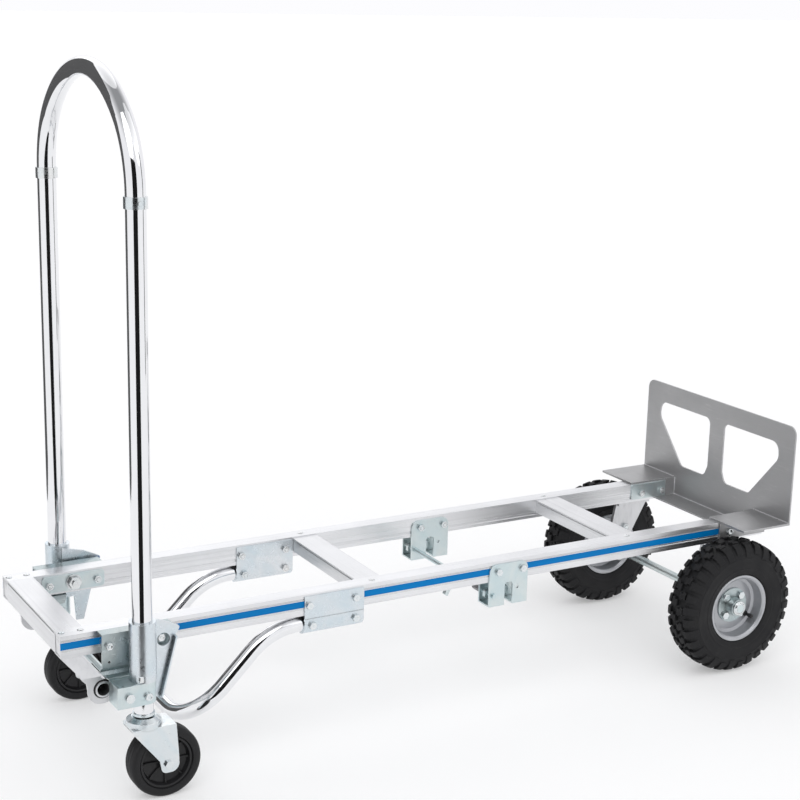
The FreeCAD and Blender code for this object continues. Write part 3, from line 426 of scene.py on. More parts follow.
FINISH_OF = {
    # The pivot brackets and wheel hubs wear the deep zinc, a darker copy of the zinc that paints shade.
    "pivot_bracket_left": "deep_zinc", "pivot_bracket_right": "deep_zinc",
    "wheel_hub_left": "deep_zinc", "wheel_hub_right": "deep_zinc", "stop_collars": "bolt_steel",
    "end_crossbar": "crossbar_aluminium", "middle_crossbar": "crossbar_aluminium",
    "axle_crossbar": "crossbar_aluminium", "grip_tube": "crossbar_aluminium",
    "pivot_sleeve_left": "bright_zinc", "pivot_sleeve_right": "bright_zinc",
    "tube_clamps_outer": "bright_zinc", "tube_clamps_inner": "bright_zinc",
    "caster_fork_left": "fork_zinc", "caster_fork_right": "fork_zinc", "caster_stems": "fork_zinc",
}
FINISHES = {}


def wear(piece, finish):
    """Give a piece one finish over its whole surface."""
    piece.data.materials.clear()
    piece.data.materials.append(FINISHES[finish])


# ---------------------------------------------------------------- making pieces

ROUND_STEPS = 28
MOST_SIDES = 48
TOUCHING = 1e-6
BOLT_RADIUS = 4 * MM
HEAD_HEIGHT = 5 * MM
THREAD_DEPTH = 0.45
TIP_CHAMFER = 0.9


def new_piece(name, body, finish, replaced):
    """A piece made of one bmesh: returns the bmesh, and a function that turns it into the object."""
    shape = bmesh.new()

    def finished(smooth=40):
        bmesh.ops.remove_doubles(shape, verts=shape.verts, dist=0.5e-6)
        bmesh.ops.recalc_face_normals(shape, faces=shape.faces)
        mesh = bpy.data.meshes.new(name)
        shape.to_mesh(mesh)
        shape.free()
        piece = bpy.data.objects.new(name, mesh)
        bpy.context.scene.collection.objects.link(piece)
        mesh.materials.append(FINISHES[finish])
        mesh.shade_smooth()
        mesh.set_sharp_from_angle(angle=math.radians(smooth))
        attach(piece, body)
        if replaced:
            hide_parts(replaced)
        return piece

    return shape, finished


def turn_ring(shape, outline, centre, steps, closed=True):
    """Spin an outline of (place along Y, radius) about the Y line through a centre."""
    points = [shape.verts.new(centre + Vector((0, along * MM, radius * MM))) for along, radius in outline]
    pairs = list(zip(points, points[1:] + points[:1])) if closed else list(zip(points, points[1:]))
    lines = [shape.edges.new(pair) for pair in pairs]
    bmesh.ops.spin(shape, geom=points + lines, cent=centre, axis=(0, 1, 0), dvec=(0, 0, 0),
                   angle=FULL_TURN, steps=steps, use_merge=True, use_duplicate=False)


def both_sides(half):
    """A closed outline from the half of it that lies on the +Y side."""
    return [(-along, radius) for along, radius in reversed(half)] + half


def turned(shape, outline, steps):
    """The verts of an open outline that is spun about the Y axis itself."""
    before = set(shape.verts)
    turn_ring(shape, outline, Vector((0, 0, 0)), steps, closed=False)
    return [vert for vert in shape.verts if vert not in before]


def box_block(shape, size, centre):
    """A box of a size about a centre."""
    made = bmesh.ops.create_cube(shape, size=1.0)["verts"]
    bmesh.ops.scale(shape, verts=made, vec=size)
    bmesh.ops.translate(shape, verts=made, vec=centre)


def bevel_edges(shape, edges, offset, segments):
    """Bevel edges by one width, and return what the bevel made."""
    return bmesh.ops.bevel(shape, geom=edges, offset=offset, offset_type="OFFSET", affect="EDGES",
                           segments=segments, profile=0.5, material=-1)


def close_ends(shape):
    """Fill every open end of a turned or swept shape."""
    open_edges = [edge for edge in shape.edges if len(edge.link_faces) == 1]
    bmesh.ops.holes_fill(shape, edges=open_edges, sides=MOST_SIDES)


def joined_to(verts):
    """Some verts, with every other vert that edges join to them."""
    found = set(verts)
    waiting = list(found)
    while waiting:
        vert = waiting.pop()
        more = {edge.other_vert(vert) for edge in vert.link_edges} - found
        found |= more
        waiting += more
    return found


def islands(node):
    """The separate solids of a CAD node, each as a list of points, from a merged copy of its mesh."""
    copy = bmesh.new()
    copy.from_mesh(NODES[node].data)
    bmesh.ops.remove_doubles(copy, verts=copy.verts, dist=TOUCHING)
    waiting = set(copy.verts)
    found = []
    while waiting:
        solid = joined_to([waiting.pop()])
        waiting -= solid
        found.append([vert.co.copy() for vert in solid])
    copy.free()
    return found


def extent(points):
    low = Vector([min(p[i] for p in points) for i in range(3)])
    high = Vector([max(p[i] for p in points) for i in range(3)])
    return low, high


def hexagon_block(shape, centre, radius, near, far, chamfer, ends=1):
    """A hexagonal prism along Y from near to far, chamfered round its far end or round both."""
    made = bmesh.ops.create_cone(shape, cap_ends=True, segments=6, radius1=radius, radius2=radius,
                                 depth=abs(far - near))
    verts = made["verts"]
    bmesh.ops.rotate(shape, verts=verts, cent=(0, 0, 0), matrix=Matrix.Rotation(math.pi / 2, 3, "X"))
    bmesh.ops.rotate(shape, verts=verts, cent=(0, 0, 0), matrix=Matrix.Rotation(math.pi / 6, 3, "Y"))
    bmesh.ops.translate(shape, verts=verts, vec=Vector((centre.x, (near + far) / 2, centre.z)))
    places = (far,) if ends == 1 else (near, far)
    rims = [edge for edge in {e for v in verts for e in v.link_edges}
            if any(all(abs(v.co.y - place) < TOUCHING for v in edge.verts) for place in places)]
    bevel_edges(shape, rims, chamfer, 2)


def dish_head(shape, centre, far, radius):
    """A shallow round dish in the top face of a hexagon head."""
    tops = [f for f in shape.faces if all(abs(v.co.y - far) < TOUCHING for v in f.verts)
            and (f.calc_center_median() - Vector((centre.x, far, centre.z))).length < radius * 0.3]
    if tops:
        bmesh.ops.inset_individual(shape, faces=tops, thickness=radius * 0.22, depth=0.0)
        bmesh.ops.inset_individual(shape, faces=tops, thickness=radius * 0.10, depth=-0.35 * MM)


def threaded_end(shape, centre, start, end, radius, pitch, segments=20):
    """A threaded shank along Y: ridges a pitch apart, and a chamfered tip at the end."""
    outward = 1 if end > start else -1
    count = max(1, int(abs(end - start) / pitch) - 1)
    outline = [(start / MM, 0), (start / MM, radius / MM)]
    for ridge in range(count):
        root = start + outward * pitch * (ridge + 0.5)
        crest = start + outward * pitch * (ridge + 1.0)
        outline += [(root / MM, radius / MM - THREAD_DEPTH), (crest / MM, radius / MM)]
    outline += [(end / MM, radius / MM - TIP_CHAMFER), (end / MM, 0)]
    turn_ring(shape, outline, Vector((centre.x, 0, centre.z)), segments, closed=False)


def widest_end(points, low, high):
    """-1 or 1: the end of a bolt along Y that holds its head."""
    centre = (low + high) / 2

    def reach(place):
        return max((Vector((p.x - centre.x, p.z - centre.z)).length for p in points
                    if abs(p.y - place) < 1e-5), default=0)

    return -1 if reach(low.y) > reach(high.y) else 1


def bolt_head(shape, centre, seat, far, radius, sizes):
    """A hexagon head standing on its round flange, from its seat to its top."""
    outward = 1 if far > seat else -1
    ledge = seat + outward * sizes.flange
    turn_ring(shape, [(seat / MM, 0), (seat / MM, radius / MM * 0.97), (ledge / MM, radius / MM * 0.93),
                      (ledge / MM, 0)], Vector((centre.x, 0, centre.z)), ROUND_STEPS, closed=False)
    hexagon_block(shape, centre, radius * 0.97, ledge - outward * 0.05 * MM, far, sizes.chamfer)
    dish_head(shape, centre, far, radius)


def make_bolts(node, body, name):
    """The bolts of a CAD node again, with chamfered heads on flanges and threaded ends."""
    sizes = bpy.context.scene.truck_fasteners
    shape, finished = new_piece(name, body, "bolt_steel", node)
    for points in islands(node):
        low, high = extent(points)
        centre = (low + high) / 2
        side = widest_end(points, low, high)
        far, tail = (high.y, low.y) if side > 0 else (low.y, high.y)
        radius = (high.x - low.x) / 2
        seat = far - side * HEAD_HEIGHT
        bolt_head(shape, centre, seat, far, radius, sizes)
        if abs(tail - seat) > 1 * MM:
            threaded_end(shape, centre, seat, tail, BOLT_RADIUS, sizes.thread_pitch)
    return finished(30)


def make_nuts(node, body, name):
    """The nuts of a CAD node again: hexagons chamfered at both ends, with a washer face on each."""
    sizes = bpy.context.scene.truck_fasteners
    shape, finished = new_piece(name, body, "bolt_steel", node)
    washer_face = 0.25 * MM
    for points in islands(node):
        low, high = extent(points)
        centre = (low + high) / 2
        radius = (high.x - low.x) / 2
        hexagon_block(shape, centre, radius * 0.985, low.y + washer_face, high.y - washer_face,
                      sizes.chamfer, 2)
        face = [(low.y / MM, 4.4), (low.y / MM, 5.6), (high.y / MM, 5.6), (high.y / MM, 4.4)]
        turn_ring(shape, face, Vector((centre.x, 0, centre.z)), ROUND_STEPS)
    return finished(30)


# ---------------------------------------------------------------- road wheels

# Outlines on the +Y side as (place along Y, radius) in millimetres.
HALF_TYRE = [
    (12, 123.7), (23, 122.6), (29.0, 119.5), (32.4, 114), (34.4, 108), (35.3, 102.6), (36.1, 101.6),
    (36.1, 100.2), (35.7, 99), (36.0, 92), (35.6, 86), (34.9, 81.5), (35.4, 80.5), (35.3, 79), (34.6, 78),
    (34.2, 74), (33.4, 70.5), (31.5, 68.0), (28.5, 66.8), (28.3, 61.2), (20, 61.2), (24, 74), (27, 92),
    (25, 108), (14, 116),
]
LONG_SHOULDER = [(17.8, 119), (17.8, 129.1), (24, 127.9), (29.6, 125.2), (33.6, 117.5), (36.2, 108.5),
                 (36.3, 104.2), (33.5, 104.2), (28, 114)]
SHORT_SHOULDER = [(19.8, 119), (19.8, 128.8), (25, 127.6), (30.2, 124.6), (33.9, 116.5), (35.6, 110.5),
                  (33.0, 110.0), (28, 115)]
# Corners of a middle block as (place along Y, distance round the wheel) in millimetres.
CENTRE_BLOCK = [(1.2, -7.5), (6.5, -10.0), (10.5, -5.5), (16.8, -7.0), (15.6, 1.0), (16.4, 6.5),
                (9.8, 9.5), (7.6, 3.5), (1.4, 6.0)]
CENTRE_BLOCK_DEPTH = 9.0
CROWN_RADIUS = 130.45
CROWN_DROP = 1.3
CROWN_HALF_WIDTH = 18
BLOCK_SHARE = 0.62


def crown_radius(along):
    """Radius of the tread's top at a distance from the tyre's middle, both in millimetres."""
    return CROWN_RADIUS - CROWN_DROP * (along / CROWN_HALF_WIDTH) ** 2


def shoulder_block(shape, centre, outline, side, width, angle):
    """One block wrapped over a shoulder, wide as an angle in radians, at an angle round the wheel."""
    verts = [shape.verts.new(centre + Vector((0, side * along * MM, radius * MM)))
             for along, radius in outline]
    face = shape.faces.new(verts)
    bmesh.ops.rotate(shape, verts=verts, cent=centre, matrix=Matrix.Rotation(angle - width / 2, 3, "Y"))
    spun = bmesh.ops.spin(shape, geom=[face], cent=centre, axis=(0, 1, 0), dvec=(0, 0, 0), angle=width,
                          steps=2, use_merge=False, use_duplicate=False)
    last = [item for item in spun["geom_last"] if isinstance(item, bmesh.types.BMVert)]
    return joined_to(verts + last)


def centre_block(shape, centre, side, angle):
    """One zigzag block of a middle row."""
    top = []
    for along, around in CENTRE_BLOCK:
        radius = crown_radius(along)
        turn = angle + around / radius
        top.append(shape.verts.new(centre + Vector((radius * math.sin(turn), side * along,
                                                    radius * math.cos(turn))) * MM))
    face = shape.faces.new(top)
    raised = bmesh.ops.extrude_face_region(shape, geom=[face])
    foot = [item for item in raised["geom"] if isinstance(item, bmesh.types.BMVert)]
    for vert in foot:
        away = vert.co - centre
        around = Vector((away.x, 0, away.z)).normalized()
        vert.co -= around * CENTRE_BLOCK_DEPTH * MM
    return top + foot


def repeat_round(shape, verts, centre, count):
    """Bevel one block and repeat it evenly all the way round the wheel."""
    faces = list({face for vert in verts for face in vert.link_faces})
    bmesh.ops.recalc_face_normals(shape, faces=faces)
    edges = list({edge for face in faces for edge in face.edges
                  if len(edge.link_faces) == 2 and edge.calc_face_angle(0) > math.radians(35)})
    bevelled = bevel_edges(shape, edges, 0.7 * MM, 1)
    block = joined_to(vert for vert in [*verts, *bevelled["verts"]] if vert.is_valid)
    faces = {face for vert in block for face in vert.link_faces}
    edges = {edge for face in faces for edge in face.edges}
    bmesh.ops.spin(shape, geom=[*block, *edges, *faces], cent=centre, axis=(0, 1, 0), dvec=(0, 0, 0),
                   angle=FULL_TURN * (count - 1) / count, steps=count - 1, use_merge=False,
                   use_duplicate=True)


def make_tyre(side_word):
    """A road tyre: ribbed sidewalls, blocks over both shoulders and two zigzag rows between them."""
    sizes = bpy.context.scene.truck_tyres
    low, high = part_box(f"tyre_{side_word}")
    centre = (low + high) / 2
    shape, finished = new_piece(f"road_tyre_{side_word}", f"road_wheel_{side_word}", "tyre_rubber",
                                f"tyre_{side_word}")
    turn_ring(shape, both_sides(HALF_TYRE), centre, sizes.ring_segments)
    pitch = FULL_TURN / sizes.shoulder_blocks
    for side in (-1, 1):
        for outline, offset in ((LONG_SHOULDER, 0.0), (SHORT_SHOULDER, pitch)):
            phase = offset + (pitch / 2 if side < 0 else 0)
            verts = shoulder_block(shape, centre, outline, side, pitch * BLOCK_SHARE, phase)
            repeat_round(shape, verts, centre, sizes.shoulder_blocks // 2)
        middle = FULL_TURN / sizes.centre_blocks
        verts = centre_block(shape, centre, side, middle * (0.25 if side > 0 else 0.75))
        repeat_round(shape, verts, centre, sizes.centre_blocks)
    return finished(35)


def make_bearings(side_word):
    """Two ball bearings: inner and outer race with a recessed seal between them."""
    shape, finished = new_piece(f"ball_bearings_{side_word}", f"road_wheel_{side_word}", "bolt_steel",
                                f"wheel_bearings_{side_word}")
    for points in islands(f"wheel_bearings_{side_word}"):
        low, high = extent(points)
        centre = (low + high) / 2
        half = (high.y - low.y) / 2 / MM
        bore, race = 8.1, 14.0
        face = [(half - 0.3, bore), (half, bore + 0.3), (half, 9.8), (half - 0.7, 10.1),
                (half - 0.8, 11.9), (half, 12.2), (half, race - 0.3), (half - 0.3, race)]
        turn_ring(shape, both_sides(face), centre, 48)
    return finished(30)


def make_valve(side_word):
    """A tyre valve: a foot, a ringed stem and a screw cap."""
    low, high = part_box(f"valve_stem_{side_word}")
    side = SIDES[side_word]
    centre = (low + high) / 2
    centre.y = low.y if side > 0 else high.y
    reach = (high.y - low.y) / MM
    shape, finished = new_piece(f"tyre_valve_{side_word}", f"road_wheel_{side_word}", "black_plastic",
                                f"valve_stem_{side_word}")
    outline = [(0, 0), (0, 5.4), (1.6, 5.4), (3.2, 4.2), (3.6, 3.6), (4.4, 3.6), (4.8, 3.3), (8.6, 3.0),
               (9.0, 3.4), (10.0, 3.4), (10.4, 3.0), (reach - 8.2, 3.0), (reach - 8.0, 3.9),
               (reach - 0.8, 3.7), (reach, 3.0), (reach, 0)]
    turn_ring(shape, [(side * along, radius) for along, radius in outline], centre, 32, closed=False)
    return finished(35)


# ---------------------------------------------------------------- casters

HALF_CASTER_TYRE = [
    (0.6, 59.4), (1.0, 60), (7.6, 60), (8.0, 59.4), (9.2, 59.4), (9.6, 60), (11.5, 59.7), (14.6, 58.8),
    (16.6, 57), (17.6, 54.5), (17.8, 50), (17, 46), (14, 44.2),
]
HALF_CASTER_HUB = [
    (14.6, 43.9), (14.4, 40.6), (13.0, 39.8), (9.5, 39.0), (6.0, 37.4), (5.0, 34), (5.0, 22), (5.4, 17.5),
    (7.0, 15.0), (11.5, 13.0), (18.8, 11.5), (19.8, 10.5), (19.8, 4.1),
]
HUB_RIB = [(4.6, 12.5), (11.0, 12.5), (8.6, 19.0), (8.2, 31.0), (10.8, 38.8), (4.6, 38.8)]
HUB_RIBS = 8
RIB_THICKNESS = 2.8


def make_caster_wheel(side_word):
    """A caster wheel: grooved rubber tyre on a moulded hub with ribs on both faces."""
    low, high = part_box(f"caster_tyre_{side_word}")
    centre = (low + high) / 2
    body = f"caster_wheel_{side_word}"
    shape, finished = new_piece(f"caster_tread_{side_word}", body, "caster_rubber",
                                f"caster_tyre_{side_word}")
    turn_ring(shape, both_sides(HALF_CASTER_TYRE), centre, 72)
    finished(35)
    shape, finished = new_piece(f"caster_core_{side_word}", body, "black_plastic",
                                f"caster_hub_{side_word}")
    turn_ring(shape, both_sides(HALF_CASTER_HUB), centre, 64)
    for side in (-1, 1):
        face = [shape.verts.new(centre + Vector((-RIB_THICKNESS / 2, side * along, radius)) * MM)
                for along, radius in HUB_RIB]
        rib = shape.faces.new(face)
        raised = bmesh.ops.extrude_face_region(shape, geom=[rib])
        moved = [item for item in raised["geom"] if isinstance(item, bmesh.types.BMVert)]
        bmesh.ops.translate(shape, verts=moved, vec=Vector((RIB_THICKNESS * MM, 0, 0)))
        repeat_round(shape, face + moved, centre, HUB_RIBS)
    finished(35)


# ---------------------------------------------------------------- latch spring, rivets, sleeve pins

SPRING_WIRE = 0.95 * MM
SPRING_COILS = 8
COIL_STEPS = 22


def make_latch_spring():
    """The latch's torsion spring: close coils round the rod, with one tail up against the rail."""
    low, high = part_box("latch_spring")
    rod_low, rod_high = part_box("latch_rod")
    axis = (rod_low + rod_high) / 2
    coil_radius = (rod_high.x - rod_low.x) / 2 + SPRING_WIRE + 0.5 * MM
    start, end = low.y + 5.2 * MM, high.y - SPRING_WIRE
    steps = COIL_STEPS * SPRING_COILS
    shape, finished = new_piece("torsion_spring", "frame", "spring_steel", "latch_spring")
    ring = bmesh.ops.create_circle(shape, cap_ends=False, segments=10, radius=SPRING_WIRE)["verts"]
    bmesh.ops.translate(shape, verts=ring, vec=Vector((axis.x + coil_radius, start, axis.z)))
    edges = list({edge for vert in ring for edge in vert.link_edges})
    tail = bmesh.ops.extrude_edge_only(shape, edges=edges)
    bmesh.ops.spin(shape, geom=edges, cent=(axis.x, start, axis.z), axis=(0, 1, 0),
                   dvec=(0, (end - start) / steps, 0), angle=FULL_TURN * SPRING_COILS, steps=steps,
                   use_merge=False, use_duplicate=False)
    moved = [item for item in tail["geom"] if isinstance(item, bmesh.types.BMVert)]
    bmesh.ops.translate(shape, verts=moved, vec=Vector((0, 0, high.z - axis.z)))
    close_ends(shape)
    return finished(40)


RIVET_DOME = [(0.0, 5.5), (0.25, 5.45), (0.62, 4.6), (0.90, 3.2), (1.0, 1.7), (0.9, 1.4), (0.9, 0)]


def make_rivets():
    """Domed rivets through the rails at the crossbars, with a small set mark in each head."""
    shape, finished = new_piece("domed_rivets", "frame", "bolt_steel", "crossbar_rivets")
    rail_low, rail_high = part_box("side_rail_left")
    for points in islands("crossbar_rivets"):
        low, high = extent(points)
        centre = (low + high) / 2
        for seat, tip in ((rail_high.z, high.z), (rail_low.z, low.z)):
            rise = (tip - seat) / MM
            outline = [(share * rise, radius) for share, radius in RIVET_DOME]
            made = turned(shape, outline, ROUND_STEPS)
            bmesh.ops.rotate(shape, verts=made, cent=(0, 0, 0), matrix=Matrix.Rotation(math.pi / 2, 3, "X"))
            bmesh.ops.translate(shape, verts=made, vec=Vector((centre.x, centre.y, seat)))
    close_ends(shape)
    return finished(40)


def make_axle_caps():
    """Pressed caps on the axle's ends: a rolled rim round a shallow dome."""
    shape, finished = new_piece("pressed_axle_caps", "frame", "bolt_steel", "axle_end_caps")
    for points in islands("axle_end_caps"):
        low, high = extent(points)
        centre = (low + high) / 2
        outward = 1 if centre.y > 0 else -1
        centre.y = low.y if outward > 0 else high.y
        rise = (high.y - low.y) / MM
        radius = (high.x - low.x) / 2 / MM
        outline = [(0, 8.1), (0, radius - 0.3), (0.5, radius), (1.5, radius), (2.0, radius - 0.5),
                   (2.0, radius - 2.2), (2.6, radius - 3.0), (rise - 0.9, radius - 4.2),
                   (rise - 0.2, radius - 5.8), (rise, radius - 8.0), (rise, 2.2), (rise - 0.5, 1.6),
                   (rise - 0.5, 0)]
        turn_ring(shape, [(outward * along, reach) for along, reach in outline], centre, 40, closed=False)
    close_ends(shape)
    return finished(30)


NOSE_THICKNESS = 3 * MM
WING_LIFT = 4 * MM
WING_BEAD = 1.9 * MM
WALL_BEAD = 1.7 * MM
BEAD_RIPPLE = 1.6 * MM
RIPPLE_VALLEY = 0.82


def bead(shape, start, end, radius):
    """A rippled weld bead from start to end, a straight line along Y or Z."""
    length = (end - start).length
    count = int(length / BEAD_RIPPLE)
    outline = [(0, 0)]
    for ripple in range(count + 1):
        height = radius if ripple % 2 else radius * RIPPLE_VALLEY
        outline.append((length / MM * ripple / count, height / MM))
    outline.append((length / MM, 0))
    made = turned(shape, outline, 10)
    if abs(end.z - start.z) > abs(end.y - start.y):
        bmesh.ops.rotate(shape, verts=made, cent=(0, 0, 0), matrix=Matrix.Rotation(math.pi / 2, 3, "X"))
    bmesh.ops.translate(shape, verts=made, vec=start)


def make_nose_welds():
    """The weld beads where the wings, the side walls and the heel meet the nose plate's face."""
    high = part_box("nose_plate")[1]
    rail_low, rail_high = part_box("side_rail_left")
    face = high.x - NOSE_THICKNESS
    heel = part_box("nose_brackets")[0].z
    wing = rail_high.z + WING_LIFT
    wall = rail_low.y - NOSE_THICKNESS
    shape, finished = new_piece("nose_weld_beads", "frame", "weld_metal", None)
    for side in (-1, 1):
        start, end = sorted((side * (wall + NOSE_THICKNESS), side * (high.y - 1 * MM)))
        bead(shape, Vector((face, start, wing)), Vector((face, end, wing)), WING_BEAD)
        bead(shape, Vector((face, side * wall, heel)), Vector((face, side * wall, wing)), WALL_BEAD)
    bead(shape, Vector((face, -wall, heel)), Vector((face, wall, heel)), WALL_BEAD)
    return finished(60)


PLUG_THICKNESS = 1.6 * MM
PLUG_SETBACK = 0.5 * MM


def make_rail_plugs():
    """Flat aluminium plugs that close the rails at the handle end."""
    shape, finished = new_piece("rail_plugs", "frame", "crossbar_aluminium", None)
    for side_word, side in SIDES.items():
        low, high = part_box(f"side_rail_{side_word}")
        inner, outer = (low.y, high.y) if side > 0 else (high.y, low.y)
        width = abs(outer - inner) - 4.4 * MM
        middle = inner + side * (1.4 * MM + width / 2)
        box_block(shape, Vector((PLUG_THICKNESS, width, high.z - low.z - 1.6 * MM)),
                  Vector((low.x + PLUG_SETBACK + PLUG_THICKNESS / 2, middle, (low.z + high.z) / 2)))
    bevel_edges(shape, list(shape.edges), 0.4 * MM, 2)
    return finished(30)


PIN_SIZE = Vector((9, 6, 10)) * MM
PIN_HEIGHT = 211.5 * MM


def make_sleeve_pins():
    """The square ends of the handle's stop pins, which show low on the outside of each sleeve."""
    for side_word, side in SIDES.items():
        low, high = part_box(f"pivot_sleeve_{side_word}")
        outer = high.y if side > 0 else low.y
        shape, finished = new_piece(f"sleeve_pin_{side_word}", "sleeves", "bolt_steel", None)
        box_block(shape, PIN_SIZE, Vector((low.x + 12.5 * MM, outer - side * 4.0 * MM, PIN_HEIGHT)))
        bevel_edges(shape, list(shape.edges), 0.8 * MM, 2)
        finished(30)


# ---------------------------------------------------------------- operators

class TRUCK_OT_finishes(bpy.types.Operator):
    """Make every finish and put it on the CAD pieces"""

    bl_idname = "truck.finishes"
    bl_label = "Finishes"

    def execute(self, context):
        FINISHES.update(make_finishes())
        for row in frame["record"]["subparts"]:
            node = row["node"]
            wear(NODES[node], FINISH_OF.get(node, row["material_slot"]))
        return {"FINISHED"}


class TRUCK_OT_road_wheels(bpy.types.Operator):
    """Make the road tyres, bearings and valves"""

    bl_idname = "truck.road_wheels"
    bl_label = "Road Wheels"

    def execute(self, context):
        for side_word in SIDES:
            make_tyre(side_word)
            make_bearings(side_word)
            make_valve(side_word)
        return {"FINISHED"}


class TRUCK_OT_casters(bpy.types.Operator):
    """Make the caster wheels"""

    bl_idname = "truck.casters"
    bl_label = "Caster Wheels"

    def execute(self, context):
        for side_word in SIDES:
            make_caster_wheel(side_word)
        return {"FINISHED"}


class TRUCK_OT_fasteners(bpy.types.Operator):
    """Make the hexagon bolts and nuts, and the rivets"""

    bl_idname = "truck.fasteners"
    bl_label = "Bolts, Nuts and Rivets"

    def execute(self, context):
        make_bolts("frame_bolts", "frame", "hexagon_bolts")
        make_bolts("caster_bracket_bolts", "handle", "strap_bolts")
        make_nuts("frame_nuts", "frame", "hexagon_nuts")
        make_rivets()
        return {"FINISHED"}


class TRUCK_OT_nose_and_ends(bpy.types.Operator):
    """Make the nose plate's weld beads, the rail plugs and the axle caps"""

    bl_idname = "truck.nose_and_ends"
    bl_label = "Welds, Plugs and Caps"

    def execute(self, context):
        make_nose_welds()
        make_rail_plugs()
        make_axle_caps()
        return {"FINISHED"}


class TRUCK_OT_latch(bpy.types.Operator):
    """Make the latch spring and the sleeves' stop pins"""

    bl_idname = "truck.latch"
    bl_label = "Latch Spring and Pins"

    def execute(self, context):
        make_latch_spring()
        make_sleeve_pins()
        return {"FINISHED"}


# Each light's azimuth, height above the horizon and spread in degrees, and its share of the key's strength.
SUNS = {"key": (-125, 52, 50, 1.0), "fill": (-35, 48, 60, 0.5), "back": (85, 45, 60, 0.5)}
HORIZON = (0.98, 0.98, 1.0, 1)
OVERHEAD = (0.32, 0.325, 0.335, 1)


def soft_sun(name, azimuth, height, spread, strength):
    """An even, soft light from an azimuth and a height above the horizon, all in degrees."""
    lamp = bpy.data.lights.new(name, "SUN")
    lamp.angle = math.radians(spread)
    lamp.energy = strength
    light = bpy.data.objects.new(name, lamp)
    light.rotation_euler = Euler((0, math.radians(90 - height), math.radians(azimuth)))
    bpy.context.scene.collection.objects.link(light)


def dark_panel(name, corners, place, azimuth, tone):
    """A dark studio panel that only shiny surfaces see, turned about a place on the floor."""
    mesh = bpy.data.meshes.new(name)
    shape = bmesh.new()
    shape.faces.new([shape.verts.new(corner) for corner in corners])
    bmesh.ops.rotate(shape, verts=shape.verts, cent=(0, 0, 0), matrix=Matrix.Rotation(azimuth, 3, "Z"))
    bmesh.ops.translate(shape, verts=shape.verts, vec=place)
    shape.to_mesh(mesh)
    shape.free()
    panel = bpy.data.objects.new(name, mesh)
    bpy.context.scene.collection.objects.link(panel)
    black = Finish(name, (tone, tone, tone), 0.0, 1.0)
    black.set("Specular IOR Level", 0.0)
    mesh.materials.append(black.done())
    panel.visible_camera = False
    panel.visible_diffuse = False
    panel.visible_shadow = False
    panel.visible_transmission = False


def dark_wedge(name, place, azimuth, half_angle, near, far, height, tone):
    """Two dark panels that fill a wedge: one along the floor, one standing at its far end."""
    slope = math.tan(half_angle)
    above_floor = 4 * MM
    on_floor = [(reach, side * reach * slope, above_floor)
                for reach, side in ((near, -1), (far, -1), (far, 1), (near, 1))]
    standing = [(far, side * far * slope, top)
                for side, top in ((-1, 0), (1, 0), (1, height), (-1, height))]
    dark_panel(f"{name}_floor", on_floor, place, azimuth, tone)
    dark_panel(f"{name}_wall", standing, place, azimuth, tone)


def studio_world():
    """Pale light all round that falls to grey overhead."""
    world = bpy.data.worlds.new("studio")
    bpy.context.scene.world = world
    world.use_nodes = True
    tree = world.node_tree
    background = tree.nodes["Background"]
    direction = tree.nodes.new("ShaderNodeTexCoord")
    parts = tree.nodes.new("ShaderNodeSeparateXYZ")
    ramp = tree.nodes.new("ShaderNodeValToRGB")
    tree.links.new(direction.outputs["Generated"], parts.inputs["Vector"])
    tree.links.new(parts.outputs["Z"], ramp.inputs["Fac"])
    stops = ramp.color_ramp.elements
    stops[0].position, stops[0].color = 0.45, HORIZON
    stops[1].position, stops[1].color = 0.92, OVERHEAD
    tree.links.new(ramp.outputs["Color"], background.inputs["Color"])
    background.inputs["Strength"].default_value = 1.0


def studio_floor(tone, glow):
    """A wide plain floor with a very faint mottle."""
    shape = bmesh.new()
    bmesh.ops.create_grid(shape, x_segments=1, y_segments=1, size=60.0)
    mesh = bpy.data.meshes.new("floor")
    shape.to_mesh(mesh)
    shape.free()
    floor = bpy.data.objects.new("floor", mesh)
    bpy.context.scene.collection.objects.link(floor)
    finish = Finish("floor", (tone, tone, tone), 0.0, 0.6)
    mottle = finish.noise(2.0, 2.0)
    finish.tint(finish.shades(mottle, (tone * 0.99,) * 3, (tone,) * 3))
    finish.set("Specular IOR Level", 0.0)
    finish.set("Emission Color", (1, 1, 1, 1))
    finish.set("Emission Strength", glow)
    mesh.materials.append(finish.done())


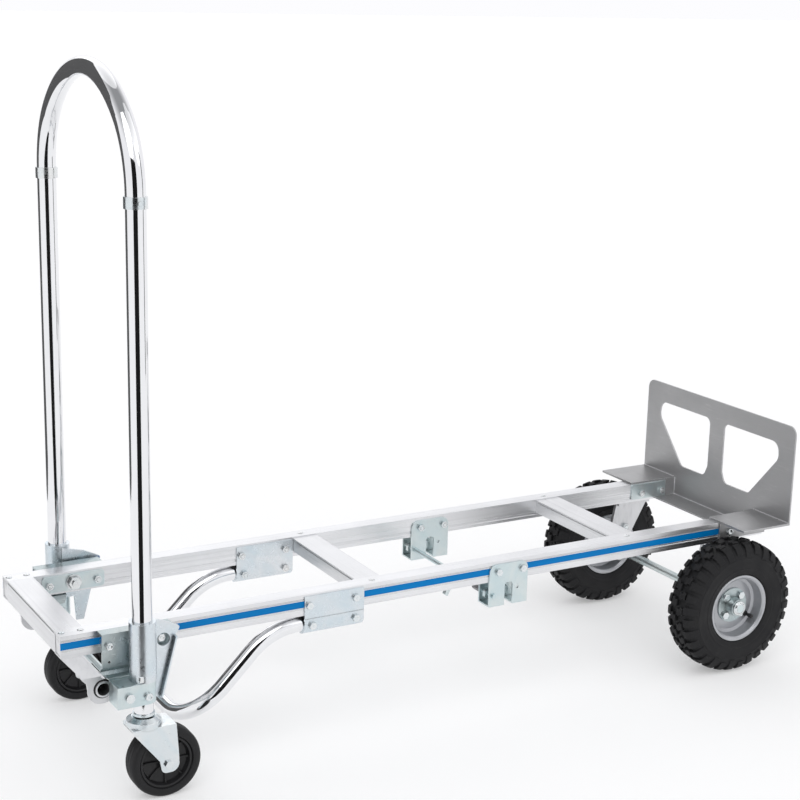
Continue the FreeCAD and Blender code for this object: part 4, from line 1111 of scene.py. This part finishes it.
class TRUCK_OT_studio(bpy.types.Operator):
    """Make the floor, the lights and the camera"""

    bl_idname = "truck.studio"
    bl_label = "Studio"

    def execute(self, context):
        settings = context.scene.truck_studio
        studio_world()
        studio_floor(settings.floor_tone, settings.floor_glow)
        for name, (azimuth, height, spread, share) in SUNS.items():
            soft_sun(name, azimuth, height, spread, settings.key_strength * share)
        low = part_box("handle_loop")[0]
        leg = Vector((low.x, low.y, 0))
        to_camera = Vector(settings.camera_place) - leg
        facing = math.atan2(to_camera.y, to_camera.x)
        dark_wedge("panel_front", leg, facing - math.radians(3), math.radians(24),
                   near=0.34, far=4.2, height=3.4, tone=0.012)
        dark_wedge("panel_side", leg, facing + math.radians(86), math.radians(4),
                   near=3.0, far=4.0, height=3.0, tone=0.03)
        dark_wedge("panel_far", leg, math.radians(118), math.radians(27),
                   near=1.6, far=4.0, height=4.6, tone=0.10)
        camera = bpy.data.cameras.new("camera")
        camera.lens = settings.lens
        camera.sensor_width = 36.0
        camera.clip_end = 200.0
        viewer = bpy.data.objects.new("camera", camera)
        bpy.context.scene.collection.objects.link(viewer)
        turn = (Matrix.Rotation(settings.camera_heading - math.pi / 2, 4, "Z")
                @ Matrix.Rotation(math.pi / 2 - settings.camera_dip, 4, "X")
                @ Matrix.Rotation(settings.camera_roll, 4, "Z"))
        viewer.matrix_world = Matrix.Translation(settings.camera_place) @ turn
        context.scene.camera = viewer
        context.scene.view_settings.view_transform = "Standard"
        return {"FINISHED"}


class TRUCK_PT_panel(bpy.types.Panel):
    """Sizes, colours and the pieces that they make"""

    bl_idname = "TRUCK_PT_panel"
    bl_label = "Convertible Hand Truck"
    bl_space_type = "VIEW_3D"
    bl_region_type = "UI"
    bl_category = "Hand Truck"

    def draw(self, context):
        layout = self.layout
        for word in GROUPS:
            group = getattr(context.scene, word)
            box = layout.box()
            for name in group.__annotations__:
                box.prop(group, name)
        for operator in OPERATORS:
            layout.operator(operator.bl_idname)


OPERATORS = (TRUCK_OT_finishes, TRUCK_OT_road_wheels, TRUCK_OT_casters, TRUCK_OT_fasteners,
             TRUCK_OT_nose_and_ends, TRUCK_OT_latch, TRUCK_OT_studio)
GROUPS = {"truck_tyres": TyreSizes, "truck_fasteners": FastenerSizes, "truck_colours": FinishColours,
          "truck_studio": StudioSettings}
CLASSES = (*GROUPS.values(), *OPERATORS, TRUCK_PT_panel)


def register():
    for kind in CLASSES:
        bpy.utils.register_class(kind)
    for word, kind in GROUPS.items():
        setattr(bpy.types.Scene, word, bpy.props.PointerProperty(type=kind))


def unregister():
    for word in GROUPS:
        delattr(bpy.types.Scene, word)
    for kind in reversed(CLASSES):
        bpy.utils.unregister_class(kind)


def main():
    register()
    bpy.ops.truck.finishes()
    bpy.ops.truck.road_wheels()
    bpy.ops.truck.casters()
    bpy.ops.truck.fasteners()
    bpy.ops.truck.nose_and_ends()
    bpy.ops.truck.latch()
    bpy.ops.truck.studio()


if __name__ == "__main__":
    main()
